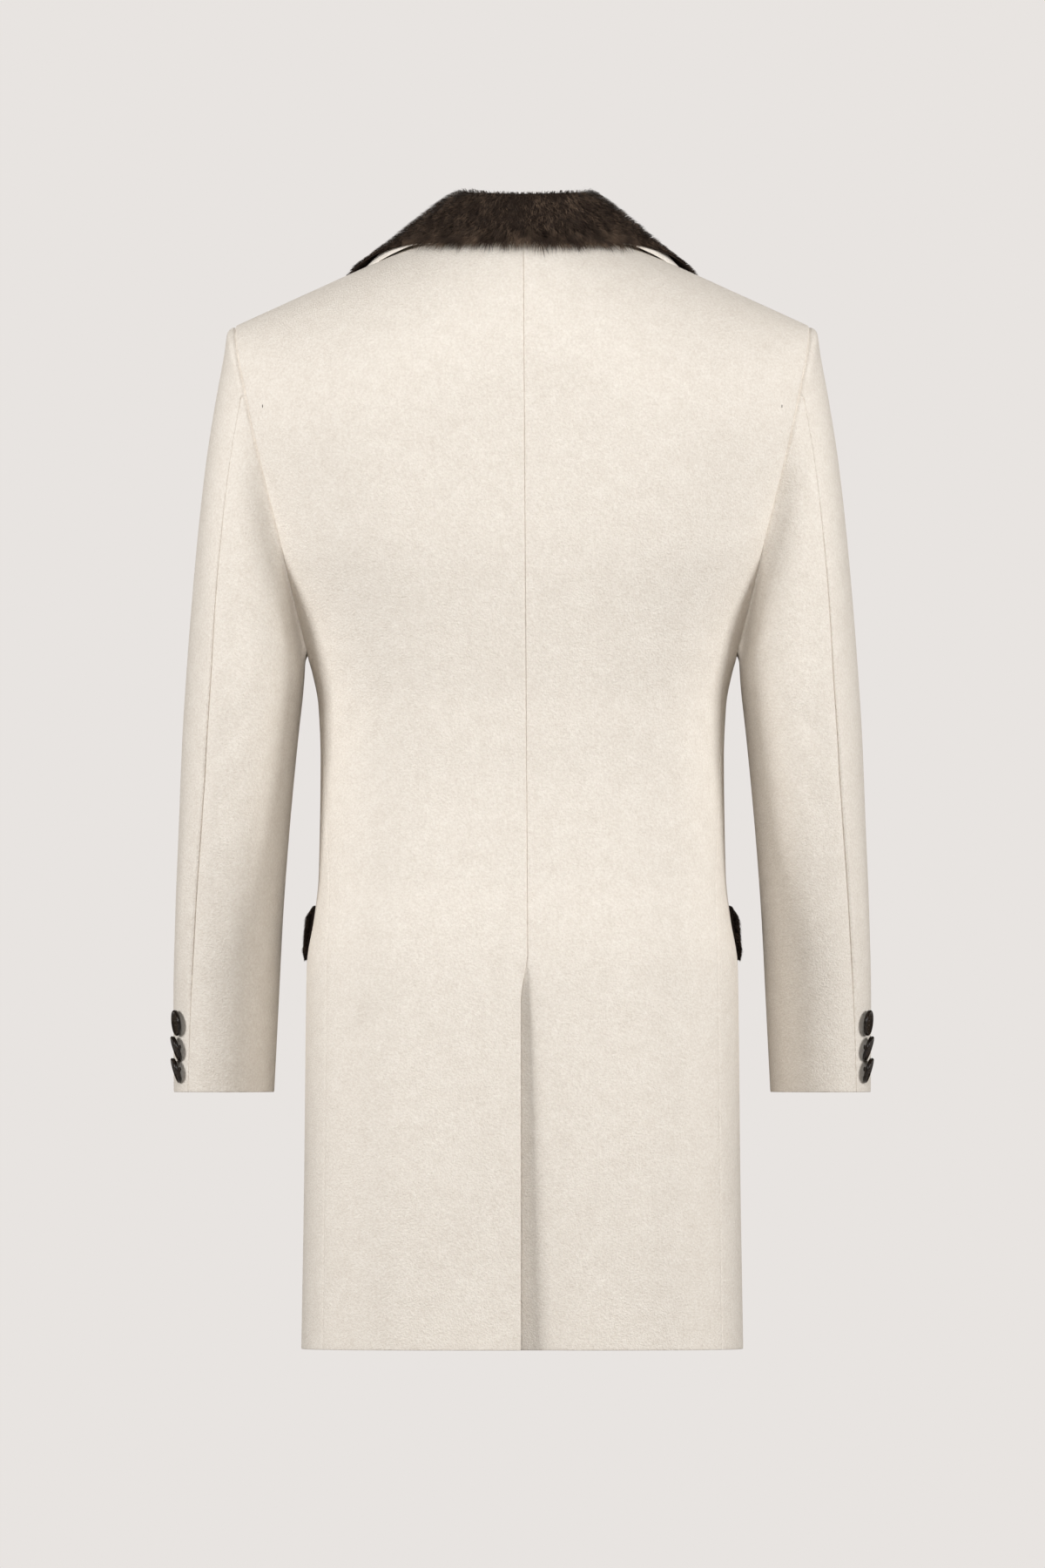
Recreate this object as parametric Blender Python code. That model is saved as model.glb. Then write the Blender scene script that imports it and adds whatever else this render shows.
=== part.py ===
"""A single-breasted felt coat with a fur collar, filled out as if worn and empty inside.

Metres, +Z up. The back of the coat faces -Y and the front faces +Y, so +X is the wearer's right.
The origin is the middle of the neck opening, level with the points where shoulder and neck meet.
"""

import math
from collections import namedtuple

import bmesh
import bpy
import numpy as np
from mathutils import Matrix, Vector

# Cloth
WALL = 0.0025
SEAM_GAP = 0.0003
HALF_GAP = SEAM_GAP / 2

# Heights of the cut
HEM_Z = -0.9506
VENT_TOP_Z = -0.6079
BREAK_Z = -0.400
UNDERARM_Z = -0.3560
SHOULDER_X, SHOULDER_Z = 0.2459, -0.0778

# Shoulder ridge: a straight slope outside the neck, rounded over the neck
SHOULDER_SLOPE = 0.459
RIDGE_PEAK = 0.0372
RIDGE_ROUND = 0.030
BACK_ROUND = 0.130
FRONT_ROUND = 0.190
BACK_CROWN = 2.0
FRONT_CROWN = 1.6
NECK_HALF = 0.078
NECK_BACK = 0.060

# Armhole edges, as angles round the form from its side
BACK_EDGE_DEG = 25.5
FRONT_EDGE_DEG = 27.0
EDGE_BLEND = 0.10

# Front closure and lapels
LAP = 0.030
LAP_LIFT = 0.0042
LAP_FADE = 0.050
LAP_TOP_Z = -0.120
LAP_RISE = 0.150
GORGE_Z = -0.085
LAPEL_ROLL = 0.00525

# Centre back: the seam drifts to the right, and the left edge of the vent swings back
SEAM_TOP_X = 0.0009
SEAM_VENT_X = 0.0047
VENT_EDGE_X = -0.0013
VENT_SWING = 0.046
VENT_DEPTH = 0.014
VENT_GATHER = 0.060
VENT_BESIDE = [0.000, 0.008, 0.020, 0.038]
VENT_LAPPED = [-0.045, -0.003, 0.009, 0.024]

# Grid steps
NECK_STEPS = 4
SHOULDER_STEPS = 8
SIDE_STEPS = 4
CHEST_STEPS = 4
CROWN_STEPS = 6

BodySection = namedtuple(
    "BodySection", "height half_width back front square side_back_deg side_front_deg"
)
BODY = [
    BodySection(HEM_Z, 0.1890, 0.150, 0.150, 3.20, 32.0, 40.0),
    BodySection(-0.8070, 0.1866, 0.147, 0.146, 3.20, 31.5, 40.0),
    BodySection(-0.6580, 0.1850, 0.140, 0.140, 3.10, 31.0, 39.0),
    BodySection(-0.6206, 0.1842, 0.137, 0.138, 3.05, 30.5, 38.0),
    BodySection(-0.5830, 0.1782, 0.131, 0.136, 3.00, 26.0, 36.0),
    BodySection(-0.5460, 0.1741, 0.123, 0.133, 2.90, 22.0, 34.0),
    BodySection(-0.4455, 0.1725, 0.112, 0.128, 2.70, 12.0, 30.0),
    BodySection(-0.4000, 0.1745, 0.112, 0.128, 2.65, 6.5, 24.0),
    BodySection(-0.3747, 0.1792, 0.114, 0.129, 2.60, 6.0, 19.0),
    BodySection(UNDERARM_Z, 0.1845, 0.116, 0.130, 2.60, 5.8, 14.6),
    BodySection(-0.2500, 0.2100, 0.126, 0.132, 2.60, 5.8, 14.6),
    BodySection(-0.1500, 0.2400, 0.124, 0.126, 2.60, 5.8, 14.6),
    BodySection(-0.0400, 0.2660, 0.118, 0.114, 2.60, 5.8, 14.6),
    BodySection(0.0300, 0.2660, 0.118, 0.112, 2.60, 5.8, 14.6),
]

ArmholeSection = namedtuple("ArmholeSection", "height back_x front_x")
ARMHOLE = [
    ArmholeSection(UNDERARM_Z, 0.1838, 0.1799),
    ArmholeSection(-0.3040, 0.1972, 0.1850),
    ArmholeSection(-0.2518, 0.2099, 0.1915),
    ArmholeSection(-0.1922, 0.2248, 0.2040),
    ArmholeSection(-0.1386, 0.2364, 0.2220),
    ArmholeSection(SHOULDER_Z, SHOULDER_X, SHOULDER_X),
    ArmholeSection(0.0300, SHOULDER_X, SHOULDER_X),
]

SleeveSection = namedtuple("SleeveSection", "outer_x outer_z inner_x inner_z back front middle_y")
SLEEVE = [
    SleeveSection(0.2518, -0.0827, 0.1852, -0.3595, 0.068, 0.064, 0.000),
    SleeveSection(0.2550, -0.1020, 0.1856, -0.3645, 0.070, 0.066, 0.000),
    SleeveSection(0.2620, -0.1400, 0.1859, -0.3700, 0.073, 0.068, 0.000),
    SleeveSection(0.2700, -0.1900, 0.1862, -0.3760, 0.076, 0.071, 0.000),
    SleeveSection(0.2775, -0.2550, 0.1867, -0.3830, 0.078, 0.074, 0.000),
    SleeveSection(0.2861, -0.3561, 0.1876, -0.3930, 0.078, 0.076, 0.000),
    SleeveSection(0.2909, -0.4306, 0.1918, -0.4306, 0.075, 0.074, 0.001),
    SleeveSection(0.2939, -0.5051, 0.1989, -0.5051, 0.069, 0.070, 0.005),
    SleeveSection(0.2969, -0.5796, 0.2045, -0.5796, 0.063, 0.065, 0.014),
    SleeveSection(0.2986, -0.6541, 0.2084, -0.6541, 0.058, 0.060, 0.026),
    SleeveSection(0.2984, -0.7301, 0.2124, -0.7301, 0.0545, 0.0565, 0.038),
]
SLEEVE_BLEND_RINGS = 5
SLEEVE_SQUARE = 2.2
SLEEVE_SEAM_SHIFT = 7.0
SLEEVE_BACK_SEAM_DEG = 52.0
SLEEVE_FRONT_SEAM_DEG = -125.0

# Body rows below the armhole, with closer rows where the vent opens
LOWER_ROWS = [
    HEM_Z, -0.870, -0.790, -0.720, -0.675, -0.645, -0.6279, VENT_TOP_Z,
    -0.575, -0.540, -0.495, -0.4455, BREAK_Z, -0.3747, UNDERARM_Z,
]  # fmt: skip

# Collar: apex of the roll and outer edge of the leaf, from the centre back to the gorge
CollarStation = namedtuple(
    "CollarStation", "along apex_x apex_y apex_z edge_x edge_y edge_z"
)
COLLAR = [
    CollarStation(-0.20, -0.027, -0.0600, 0.0318, -0.048, -0.0655, -0.0055),
    CollarStation(0.00, 0.000, -0.0665, 0.0310, 0.000, -0.0840, -0.0050),
    CollarStation(0.20, 0.027, -0.0600, 0.0318, 0.048, -0.0655, -0.0055),
    CollarStation(0.38, 0.047, -0.0400, 0.0340, 0.085, -0.0385, -0.0060),
    CollarStation(0.50, 0.057, -0.0180, 0.0350, 0.112, -0.0180, -0.0105),
    CollarStation(0.60, 0.062, 0.0100, 0.0320, 0.1470, 0.0030, -0.0285),
    CollarStation(0.72, 0.065, 0.0585, -0.0083, 0.1560, 0.0340, -0.0480),
    CollarStation(0.86, 0.0590, 0.0854, -0.0425, 0.1570, 0.0560, -0.0705),
    CollarStation(1.00, 0.0490, 0.1022, -0.0783, 0.1480, 0.0755, -0.0955),
]
COLLAR_NECK_SHARE = 0.60
COLLAR_STATIONS = 13
STAND_STEPS = 4
LEAF_STEPS = 6
FUR_WALL = 0.0050
FUR_EDGE = 0.0015
COLLAR_SHIFT = 0.0030
UNDER_WALL = 0.0016
LAYER_GAP = 0.0006

# Lapel outline: distance from the roll line and drop of the outer edge
LapelSection = namedtuple("LapelSection", "along width drop")
LAPEL = [
    LapelSection(0.00, 0.012, 0.000),
    LapelSection(0.25, 0.040, 0.002),
    LapelSection(0.50, 0.064, 0.006),
    LapelSection(0.75, 0.086, 0.011),
    LapelSection(1.00, 0.104, 0.017),
]
LEFT_LAPEL_FOOT_Z = -0.385
RIGHT_LAPEL_FOOT_Z = -0.262
RIGHT_FOOT_DROP = 0.050
LAPEL_ROWS = 9
LAPEL_FOLD_DEGS = [-90.0, -45.0, 0.0, 45.0, 90.0]
LAPEL_FLAT_STEPS = 4
LAPEL_REST = 0.0040
NOTCH_DROP = 0.020

# Pocket flaps
FLAP_TOP_Z = -0.5722
FLAP_HEIGHT = 0.046
FLAP_LENGTH = 0.165
FLAP_REAR_Y = -0.006
FLAP_CORNER = 0.020
FLAP_WALL = 0.0036
FLAP_GAP = 0.0007
FLAP_COLUMNS = 9
FLAP_ROWS = 5

# Buttons
ButtonSize = namedtuple("ButtonSize", "radius thickness rim dish shank_radius")
CUFF_BUTTON = ButtonSize(0.0110, 0.0034, 0.0022, 0.0009, 0.0022)
FRONT_BUTTON = ButtonSize(0.0140, 0.0042, 0.0028, 0.0011, 0.0028)
BUTTON_SIDES = 14
CUFF_BUTTON_ZS = [-0.6705, -0.6915, -0.7125]
CUFF_BUTTON_DEG = 35.0
CUFF_BUTTON_TILT_DEG = 13.0
CUFF_BUTTON_STAND = 0.0030
FRONT_BUTTON_ZS = [-0.415, -0.530, -0.645]
FRONT_BUTTON_STAND = 0.0016

# Colours in linear light
FELT_COLOUR = (0.74, 0.68, 0.58, 1.0)
FUR_COLOUR = (0.030, 0.022, 0.017, 1.0)
HORN_COLOUR = (0.018, 0.012, 0.010, 1.0)


def smooth_step(value):
    share = min(1.0, max(0.0, value))
    return share * share * (3.0 - 2.0 * share)


def mix(a, b, share):
    return a + (b - a) * share


def slopes(keys, values):
    """Slopes of a curve through the points that never overshoots between them."""
    steps = [(values[i + 1] - values[i]) / (keys[i + 1] - keys[i]) for i in range(len(keys) - 1)]
    inner = [
        0.0 if before * after <= 0.0 else 2.0 * before * after / (before + after)
        for before, after in zip(steps, steps[1:])
    ]
    return [steps[0], *inner, steps[-1]]


def read(table, column, at):
    """A column of a table, read at a value of its first column along a smooth curve."""
    keys = [row[0] for row in table]
    values = [getattr(row, column) for row in table]
    at = min(max(at, keys[0]), keys[-1])
    slope = slopes(keys, values)
    i = max(0, min(len(keys) - 2, sum(key <= at for key in keys) - 1))
    gap = keys[i + 1] - keys[i]
    t = (at - keys[i]) / gap
    ease = t * t * (3.0 - 2.0 * t)
    return (
        mix(values[i], values[i + 1], ease)
        + gap * slope[i] * t * (1.0 - t) ** 2
        - gap * slope[i + 1] * t * t * (1.0 - t)
    )


def ridge_z(x):
    """Height of the shoulder ridge, where the back and the fronts meet."""
    return RIDGE_PEAK - SHOULDER_SLOPE * math.hypot(x, RIDGE_ROUND)


def edge_deg(z, is_front):
    """Angle from the side of the form at which a panel ends: its side seam, or the armhole above it."""
    seam = read(BODY, "side_front_deg" if is_front else "side_back_deg", z)
    armhole = FRONT_EDGE_DEG if is_front else BACK_EDGE_DEG
    above = min(1.0, max(0.0, (z - UNDERARM_Z) / EDGE_BLEND))
    return mix(seam, armhole, math.sqrt(1.0 - (1.0 - above) ** 2))


def ring_width(z, is_front):
    """Half-width of the ring at a height. Above the underarm the ring runs on past the armhole edge."""
    if z <= UNDERARM_Z:
        return read(BODY, "half_width", z)
    edge_x = read(ARMHOLE, "front_x" if is_front else "back_x", z)
    power = 2.0 / read(BODY, "square", z)
    return edge_x / math.cos(math.radians(edge_deg(z, is_front))) ** power


def form_y(x, z, is_front):
    """Depth of the form at a place seen from the back or front."""
    square = read(BODY, "square", z)
    share = min(1.0, abs(x) / ring_width(z, is_front))
    depth = read(BODY, "front" if is_front else "back", z) * (1.0 - share**square) ** (1.0 / square)
    below = (ridge_z(x) - z) / (FRONT_ROUND if is_front else BACK_ROUND)
    power = FRONT_CROWN if is_front else BACK_CROWN
    above = min(1.0, max(0.0, 1.0 - below))
    crown = (1.0 - above**power) ** (1.0 / power)
    return depth * crown if is_front else -depth * crown


def ring_x(z, deg, is_front):
    """Distance from the middle of a ring's point at an angle from the side. Past 90 degrees it is negative."""
    cosine = math.cos(math.radians(deg))
    return math.copysign(abs(cosine) ** (2.0 / read(BODY, "square", z)), cosine) * ring_width(z, is_front)


def deg_at(x, z, is_front):
    """The angle at which a ring has that distance from the middle."""
    share = min(1.0, abs(x) / ring_width(z, is_front)) ** (read(BODY, "square", z) / 2.0)
    return math.degrees(math.acos(math.copysign(share, x)))


def front_edge_x(z):
    """Inner edge of the right front: the closing edge, and above the break the roll line."""
    if z <= BREAK_Z:
        return -LAP
    return mix(-LAP, NECK_HALF, (z - BREAK_Z) / (ridge_z(NECK_HALF) - BREAK_Z))


def crown_heights(top_x, is_front, end_deg):
    """Heights of a panel's rows above the underarm, closer at the armhole's foot and over the shoulder."""
    turn = FRONT_ROUND if is_front else BACK_ROUND
    ridge = ridge_z(top_x)
    chest = [mix(UNDERARM_Z, ridge - turn, (i / CHEST_STEPS) ** 1.6) for i in range(1, CHEST_STEPS + 1)]
    degs = [mix(90.0, end_deg, i / CROWN_STEPS) for i in range(1, CROWN_STEPS + 1)]
    return chest + [ridge - turn * (1.0 - math.cos(math.radians(d))) for d in degs]


def shoulder_xs():
    """Distances from the middle at which panel columns meet the shoulder seam, closer towards the arm."""
    neck_deg = deg_at(NECK_HALF, SHOULDER_Z, False)
    degs = [mix(neck_deg, BACK_EDGE_DEG, i / SHOULDER_STEPS) for i in range(SHOULDER_STEPS + 1)]
    return [ring_x(SHOULDER_Z, deg, False) for deg in degs]


def back_grid():
    """Right back panel, from the centre back to the side seam and armhole, rows from the hem up."""
    top_edge = edge_deg(SHOULDER_Z, False)
    neck_xs = [NECK_HALF * math.sin(math.pi / 2 * i / NECK_STEPS) for i in range(NECK_STEPS)]
    columns = []
    for top_x in neck_xs + shoulder_xs():
        share = (90.0 - deg_at(top_x, SHOULDER_Z, False)) / (90.0 - top_edge)
        end_deg = 0.0
        if top_x < NECK_HALF - 1e-6:
            neck_y = NECK_BACK * math.sqrt(1.0 - (top_x / NECK_HALF) ** 2)
            end_deg = math.degrees(math.asin(neck_y / read(BODY, "back", 0.0)))
        column = []
        for z in LOWER_ROWS + crown_heights(top_x, False, end_deg):
            x = ring_x(z, mix(90.0, edge_deg(z, False), share), False)
            column.append((x, form_y(x, z, False), z))
        columns.append(column)
    return np.array(columns).transpose(1, 0, 2)


def front_grid():
    """Right front panel, from the closing edge and roll line to the side seam and armhole."""
    top_edge = edge_deg(SHOULDER_Z, True)
    neck_deg = deg_at(NECK_HALF, SHOULDER_Z, True)
    inner_zs = LOWER_ROWS + crown_heights(NECK_HALF, True, 0.0)
    outer_zs = LOWER_ROWS + crown_heights(SHOULDER_X, True, 0.0)
    inner_degs = [deg_at(front_edge_x(z), z, True) for z in inner_zs]
    outer_degs = [edge_deg(z, True) for z in outer_zs]
    columns = []
    for top_x in shoulder_xs():
        share = (neck_deg - deg_at(top_x, SHOULDER_Z, True)) / (neck_deg - top_edge)
        heights = LOWER_ROWS + crown_heights(top_x, True, 0.0)
        column = []
        for z, inner, outer in zip(heights, inner_degs, outer_degs):
            x = ring_x(z, mix(inner, outer, share), True)
            column.append((x, form_y(x, z, True), z))
        columns.append(column)
    return np.array(columns).transpose(1, 0, 2)


def side_grid():
    """Right side panel under the arm, from the back side seam to the front one."""
    rows = []
    for z in LOWER_ROWS:
        back_deg = edge_deg(z, False)
        front_deg = edge_deg(z, True)
        row = []
        for i in range(SIDE_STEPS + 1):
            deg = mix(-back_deg, front_deg, i / SIDE_STEPS)
            x = ring_x(z, abs(deg), deg > 0.0)
            row.append((x, form_y(x, z, deg > 0.0), z))
        rows.append(row)
    return np.array(rows)


def armhole_ring(back, side, front):
    """Edge of the right armhole from the shoulder point down the back, under the arm and up the front."""
    rows = len(LOWER_ROWS)
    down = back[rows - 1 :, -1][::-1]
    under = side[-1, 1:-1]
    up = front[rows - 1 :, -1]
    return np.concatenate([down, under, up[:-1]])


def ring_angles(ring):
    """Angles round the sleeve from its outer line, back half positive, by distance along the armhole."""
    closed = np.concatenate([ring, ring[:1]])
    walked = np.concatenate([[0.0], np.cumsum(np.linalg.norm(np.diff(closed, axis=0), axis=1))])
    bottom = len(ring) // 2
    back = 180.0 * walked[: bottom + 1] / walked[bottom]
    back += SLEEVE_SEAM_SHIFT * np.sin(np.radians(2.0 * back))
    front = -180.0 * (walked[-1] - walked[bottom + 1 : -1]) / (walked[-1] - walked[bottom])
    return np.radians(np.concatenate([back, front]))


def rounded(cosine):
    return math.copysign(abs(cosine) ** (2.0 / SLEEVE_SQUARE), cosine)


def sleeve_ring(section, angles):
    """A ring of the sleeve across the line from its inner to its outer point."""
    middle = np.array([(section.outer_x + section.inner_x) / 2, 0.0, (section.outer_z + section.inner_z) / 2])
    reach = np.array([(section.outer_x - section.inner_x) / 2, 0.0, (section.outer_z - section.inner_z) / 2])
    points = []
    for angle in angles:
        depth = -section.back if angle > 0.0 else section.front
        y = section.middle_y + depth * abs(rounded(math.sin(angle)))
        points.append(middle + reach * rounded(math.cos(angle)) + np.array([0.0, y, 0.0]))
    return np.array(points)


def sleeve_grid(ring):
    """Right sleeve as rows from the armhole to the cuff. The first rings ease from the armhole's own shape."""
    angles = ring_angles(ring)
    bottom = ring[len(ring) // 2] * np.array([1.0, 0.0, 1.0])
    axis = ring[0] * np.array([1.0, 0.0, 1.0]) - bottom
    along = ((ring - bottom) @ axis) / (axis @ axis)
    off_axis = ring - bottom - np.outer(along, axis)
    rows = [ring]
    for i, section in enumerate(SLEEVE):
        full = sleeve_ring(section, angles)
        outer = np.array([section.outer_x, 0.0, section.outer_z])
        inner = np.array([section.inner_x, 0.0, section.inner_z])
        share = smooth_step((i + 1.0) / SLEEVE_BLEND_RINGS)
        fade = np.array([0.5 * (1.0 - share), 1.0, 0.5 * (1.0 - share)])
        carried = inner + np.outer(along, outer - inner) + off_axis * fade
        rows.append(mix(carried, full, share))
    return np.array(rows), angles


def seam_x(z):
    """The centre back seam, and below the vent's top the swung edge of its left side."""
    if z >= VENT_TOP_Z:
        return mix(SEAM_VENT_X, SEAM_TOP_X, (z - VENT_TOP_Z) / -VENT_TOP_Z)
    return mix(SEAM_VENT_X, VENT_EDGE_X, smooth_step((VENT_TOP_Z - z) / VENT_SWING))


def drift_seam(grid):
    """Moves the cloth beside the centre back sideways with its seam."""
    fade = 0.075
    moved = grid.copy()
    for point in moved.reshape(-1, 3):
        point[0] += seam_x(point[2]) * max(0.0, 1.0 - abs(point[0]) / fade)
    return moved


def open_vent(grid):
    """Right back beside the vent: it rolls in next to the left edge and runs on behind it."""
    opened = grid.copy()
    for row in opened:
        z = row[0][2]
        below = VENT_TOP_Z - z
        gather = smooth_step((below + VENT_GATHER) / VENT_GATHER)
        if gather == 0.0:
            continue
        spread = smooth_step((below - 0.020) / 0.052)
        sink = VENT_DEPTH * smooth_step(below / 0.050)
        left_x = seam_x(z)
        turn_x = left_x + mix(0.006, 0.026, max(0.0, below / (VENT_TOP_Z - HEM_Z)) ** 0.6)
        for point, beside, lapped in zip(row, VENT_BESIDE, VENT_LAPPED):
            point[0] = mix(mix(point[0], left_x + beside, gather), lapped, spread)
        for point in row[: NECK_STEPS + 1]:
            share = min(1.0, max(0.0, (turn_x - point[0]) / (turn_x - left_x)))
            point[1] += sink * share**1.5
    return opened


def lift_lap(grid):
    """Left front: it stands out over the right front where the two lap."""
    lifted = grid.copy()
    for point in lifted.reshape(-1, 3):
        point[1] += lap_lift(point[0], point[2])
    return lifted


def lap_lift(x, z):
    return LAP_LIFT * smooth_step((x + LAP + LAP_FADE) / LAP_FADE) * smooth_step((LAP_TOP_Z - z) / LAP_RISE)


def mirrored(grid):
    return grid * np.array([-1.0, 1.0, 1.0])


def grid_normals(grid, toward):
    """Unit normals of a grid, pointing away from the points in toward."""
    across = np.gradient(grid, axis=1)
    up = np.gradient(grid, axis=0)
    normals = np.cross(across, up)
    normals /= np.linalg.norm(normals, axis=2, keepdims=True)
    outward = np.sum(normals * (grid - toward)) > 0.0
    return normals if outward else -normals


def sew_normals(panels):
    """Where panels share a seam they turn in along the same line, halfway between body and sleeve."""
    shared = {}
    for name, (grid, normals) in panels.items():
        group = "sleeve" if name.startswith("sleeve") else "body"
        for point, normal in zip(grid.reshape(-1, 3), normals.reshape(-1, 3)):
            groups = shared.setdefault(tuple(np.round(point, 6)), {})
            groups.setdefault(group, []).append(normal)
    sewn = {}
    for name, (grid, normals) in panels.items():
        joined = normals.copy()
        for point, normal in zip(grid.reshape(-1, 3), joined.reshape(-1, 3)):
            groups = shared[tuple(np.round(point, 6))].values()
            total = np.sum([np.mean(group, axis=0) for group in groups], axis=0)
            normal[:] = total / np.linalg.norm(total)
        sewn[name] = (grid, joined)
    return sewn


def draw_in(grid, normals):
    """Moves a panel's edge back by half the seam gap, within the cloth."""
    drawn = grid.copy()
    for edge, inside in ((np.s_[:, 0], np.s_[:, 1]), (np.s_[:, -1], np.s_[:, -2]),
                         (np.s_[0], np.s_[1]), (np.s_[-1], np.s_[-2])):  # fmt: skip
        inward = grid[inside] - grid[edge]
        inward -= normals[edge] * np.sum(inward * normals[edge], axis=1, keepdims=True)
        drawn[edge] += inward / np.linalg.norm(inward, axis=1, keepdims=True) * HALF_GAP
    return drawn


def make_material(name, colour, roughness):
    material = bpy.data.materials.new(name)
    material.use_nodes = True
    shader = material.node_tree.nodes["Principled BSDF"]
    shader.inputs["Base Color"].default_value = colour
    shader.inputs["Roughness"].default_value = roughness
    shader.inputs["Metallic"].default_value = 0.0
    material.diffuse_color = colour
    return material


def add_object(name, shape, material, parent):
    mesh = bpy.data.meshes.new(name)
    shape.to_mesh(mesh)
    shape.free()
    mesh.materials.append(material)
    mesh.shade_smooth()
    mesh.set_sharp_from_angle(angle=math.radians(40.0))
    made = bpy.data.objects.new(name, mesh)
    made.parent = parent
    bpy.context.scene.collection.objects.link(made)
    return made


def add_wall(name, outer, inner, material, parent):
    """A closed sheet of cloth between an outer and an inner grid of the same steps."""
    rows, columns = outer.shape[:2]
    shape = bmesh.new()
    bmesh.ops.create_grid(shape, x_segments=columns - 1, y_segments=rows - 1, size=1.0)
    extruded = bmesh.ops.extrude_face_region(shape, geom=shape.faces[:], use_keep_orig=True)
    moved = {item for item in extruded["geom"] if isinstance(item, bmesh.types.BMVert)}
    for vert in shape.verts:
        column = round((vert.co.x + 1.0) / 2.0 * (columns - 1))
        row = round((vert.co.y + 1.0) / 2.0 * (rows - 1))
        vert.co = (inner if vert in moved else outer)[row, column]
    split_edge_faces(shape, moved)
    bmesh.ops.recalc_face_normals(shape, faces=shape.faces[:])
    return add_object(name, shape, material, parent)


def split_edge_faces(shape, inner_verts):
    """Splits the faces along a sheet's edge the same way on both sides of a seam, so that they stay apart."""
    for face in shape.faces[:]:
        outers = [vert for vert in face.verts if vert not in inner_verts]
        if len(outers) != 2:
            continue
        upper = max(outers, key=lambda vert: (round(vert.co.z, 4), round(vert.co.y, 4), vert.co.x))
        beside = {edge.other_vert(upper) for edge in upper.link_edges}
        far = next(vert for vert in face.verts if vert in inner_verts and vert not in beside)
        bmesh.utils.face_split(face, upper, far)


def add_sewn_panel(name, panel, material, parent):
    grid, normals = panel
    outer = draw_in(grid, normals)
    return add_wall(name, outer, outer - normals * WALL, material, parent)


def body_panels():
    """Outer skins of the body's six panels and four sleeve pieces, sharing points along their seams."""
    back, side, front = back_grid(), side_grid(), front_grid()
    sleeve, angles = sleeve_grid(armhole_ring(back, side, front))
    body_axis = np.array([0.0, 0.0, 1.0])
    sleeve_axis = sleeve.mean(axis=1, keepdims=True)
    back_seam = int(np.argmin(np.abs(np.degrees(angles) - SLEEVE_BACK_SEAM_DEG)))
    front_seam = int(np.argmin(np.abs(np.degrees(angles) - SLEEVE_FRONT_SEAM_DEG)))
    under = sleeve[:, back_seam : front_seam + 1]
    upper = np.concatenate([sleeve[:, front_seam:], sleeve[:, : back_seam + 1]], axis=1)
    right_back = drift_seam(back)
    grids = {
        "back_right": open_vent(right_back),
        "back_left": drift_seam(mirrored(back)),
        "front_right": front,
        "front_left": lift_lap(mirrored(front)),
        "side_right": side,
        "side_left": mirrored(side),
    }
    panels = {}
    for name, grid in grids.items():
        panels[name] = (grid, grid_normals(grid, grid * body_axis))
    for hand, flip in (("right", 1.0), ("left", -1.0)):
        turn = np.array([flip, 1.0, 1.0])
        for name, grid in (("sleeve_upper_", upper), ("sleeve_under_", under)):
            panels[name + hand] = (grid * turn, grid_normals(grid * turn, sleeve_axis * turn))
    return sew_normals(panels)


def neck_point(along):
    """A point of the right neck seam, from the centre back to the gorge."""
    if along <= COLLAR_NECK_SHARE:
        turn = math.radians(90.0 * along / COLLAR_NECK_SHARE)
        x = NECK_HALF * math.sin(turn)
        y = -NECK_BACK * math.cos(turn)
        lean = math.asin(-y / read(BODY, "back", 0.0))
        return np.array([x, y, ridge_z(x) - BACK_ROUND * (1.0 - math.cos(lean))])
    z = mix(ridge_z(NECK_HALF), GORGE_Z, (along - COLLAR_NECK_SHARE) / (1.0 - COLLAR_NECK_SHARE))
    x = front_edge_x(z)
    return np.array([x, form_y(x, z, True), z])


def curve_through(start, start_way, end, end_way, steps):
    """Points of a smooth curve that leaves its start and reaches its end along the given ways."""
    points = []
    for i in range(1, steps + 1):
        t = i / steps
        points.append(
            start * (1.0 + 2.0 * t) * (1.0 - t) ** 2
            + start_way * t * (1.0 - t) ** 2
            + end * t * t * (3.0 - 2.0 * t)
            - end_way * t * t * (1.0 - t)
        )
    return points


def collar_section(along):
    """Middle line of the collar from the neck seam up over its roll and down to the leaf's edge."""
    base = neck_point(along)
    apex = np.array([read(COLLAR, "apex_" + axis, along) for axis in "xyz"])
    edge = np.array([read(COLLAR, "edge_" + axis, along) for axis in "xyz"])
    rise = apex - base
    height = np.linalg.norm(rise)
    way = rise / height
    out = edge - apex - way * (way @ (edge - apex))
    out /= np.linalg.norm(out)
    base = base + way * 0.0020
    stand = curve_through(base, rise - out * 0.3 * height, apex, out * (0.8 * height + 0.002), STAND_STEPS)
    leaf = curve_through(apex, out * 0.013, edge, (edge - apex) * 0.9, LEAF_STEPS)
    return [base, *stand, *leaf]


def collar_grid():
    """Middle surface of the whole collar from the left gorge to the right. Its roll sits a little to the right."""
    alongs = [i / (COLLAR_STATIONS - 1) for i in range(COLLAR_STATIONS)]
    right = np.array([collar_section(along) for along in alongs])
    grid = np.concatenate([mirrored(right[:0:-1]), right])
    behind = np.array([1.0 - smooth_step((along - 0.5) / 0.3) for along in alongs])
    rising = np.linspace(0.0, 1.0, STAND_STEPS + 1)
    falling = np.linspace(1.0, 0.0, LEAF_STEPS + 1)[1:]
    share = np.outer(np.concatenate([behind[:0:-1], behind]), np.concatenate([rising, falling]))
    grid[:, :, 0] += COLLAR_SHIFT * share
    return grid


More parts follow.
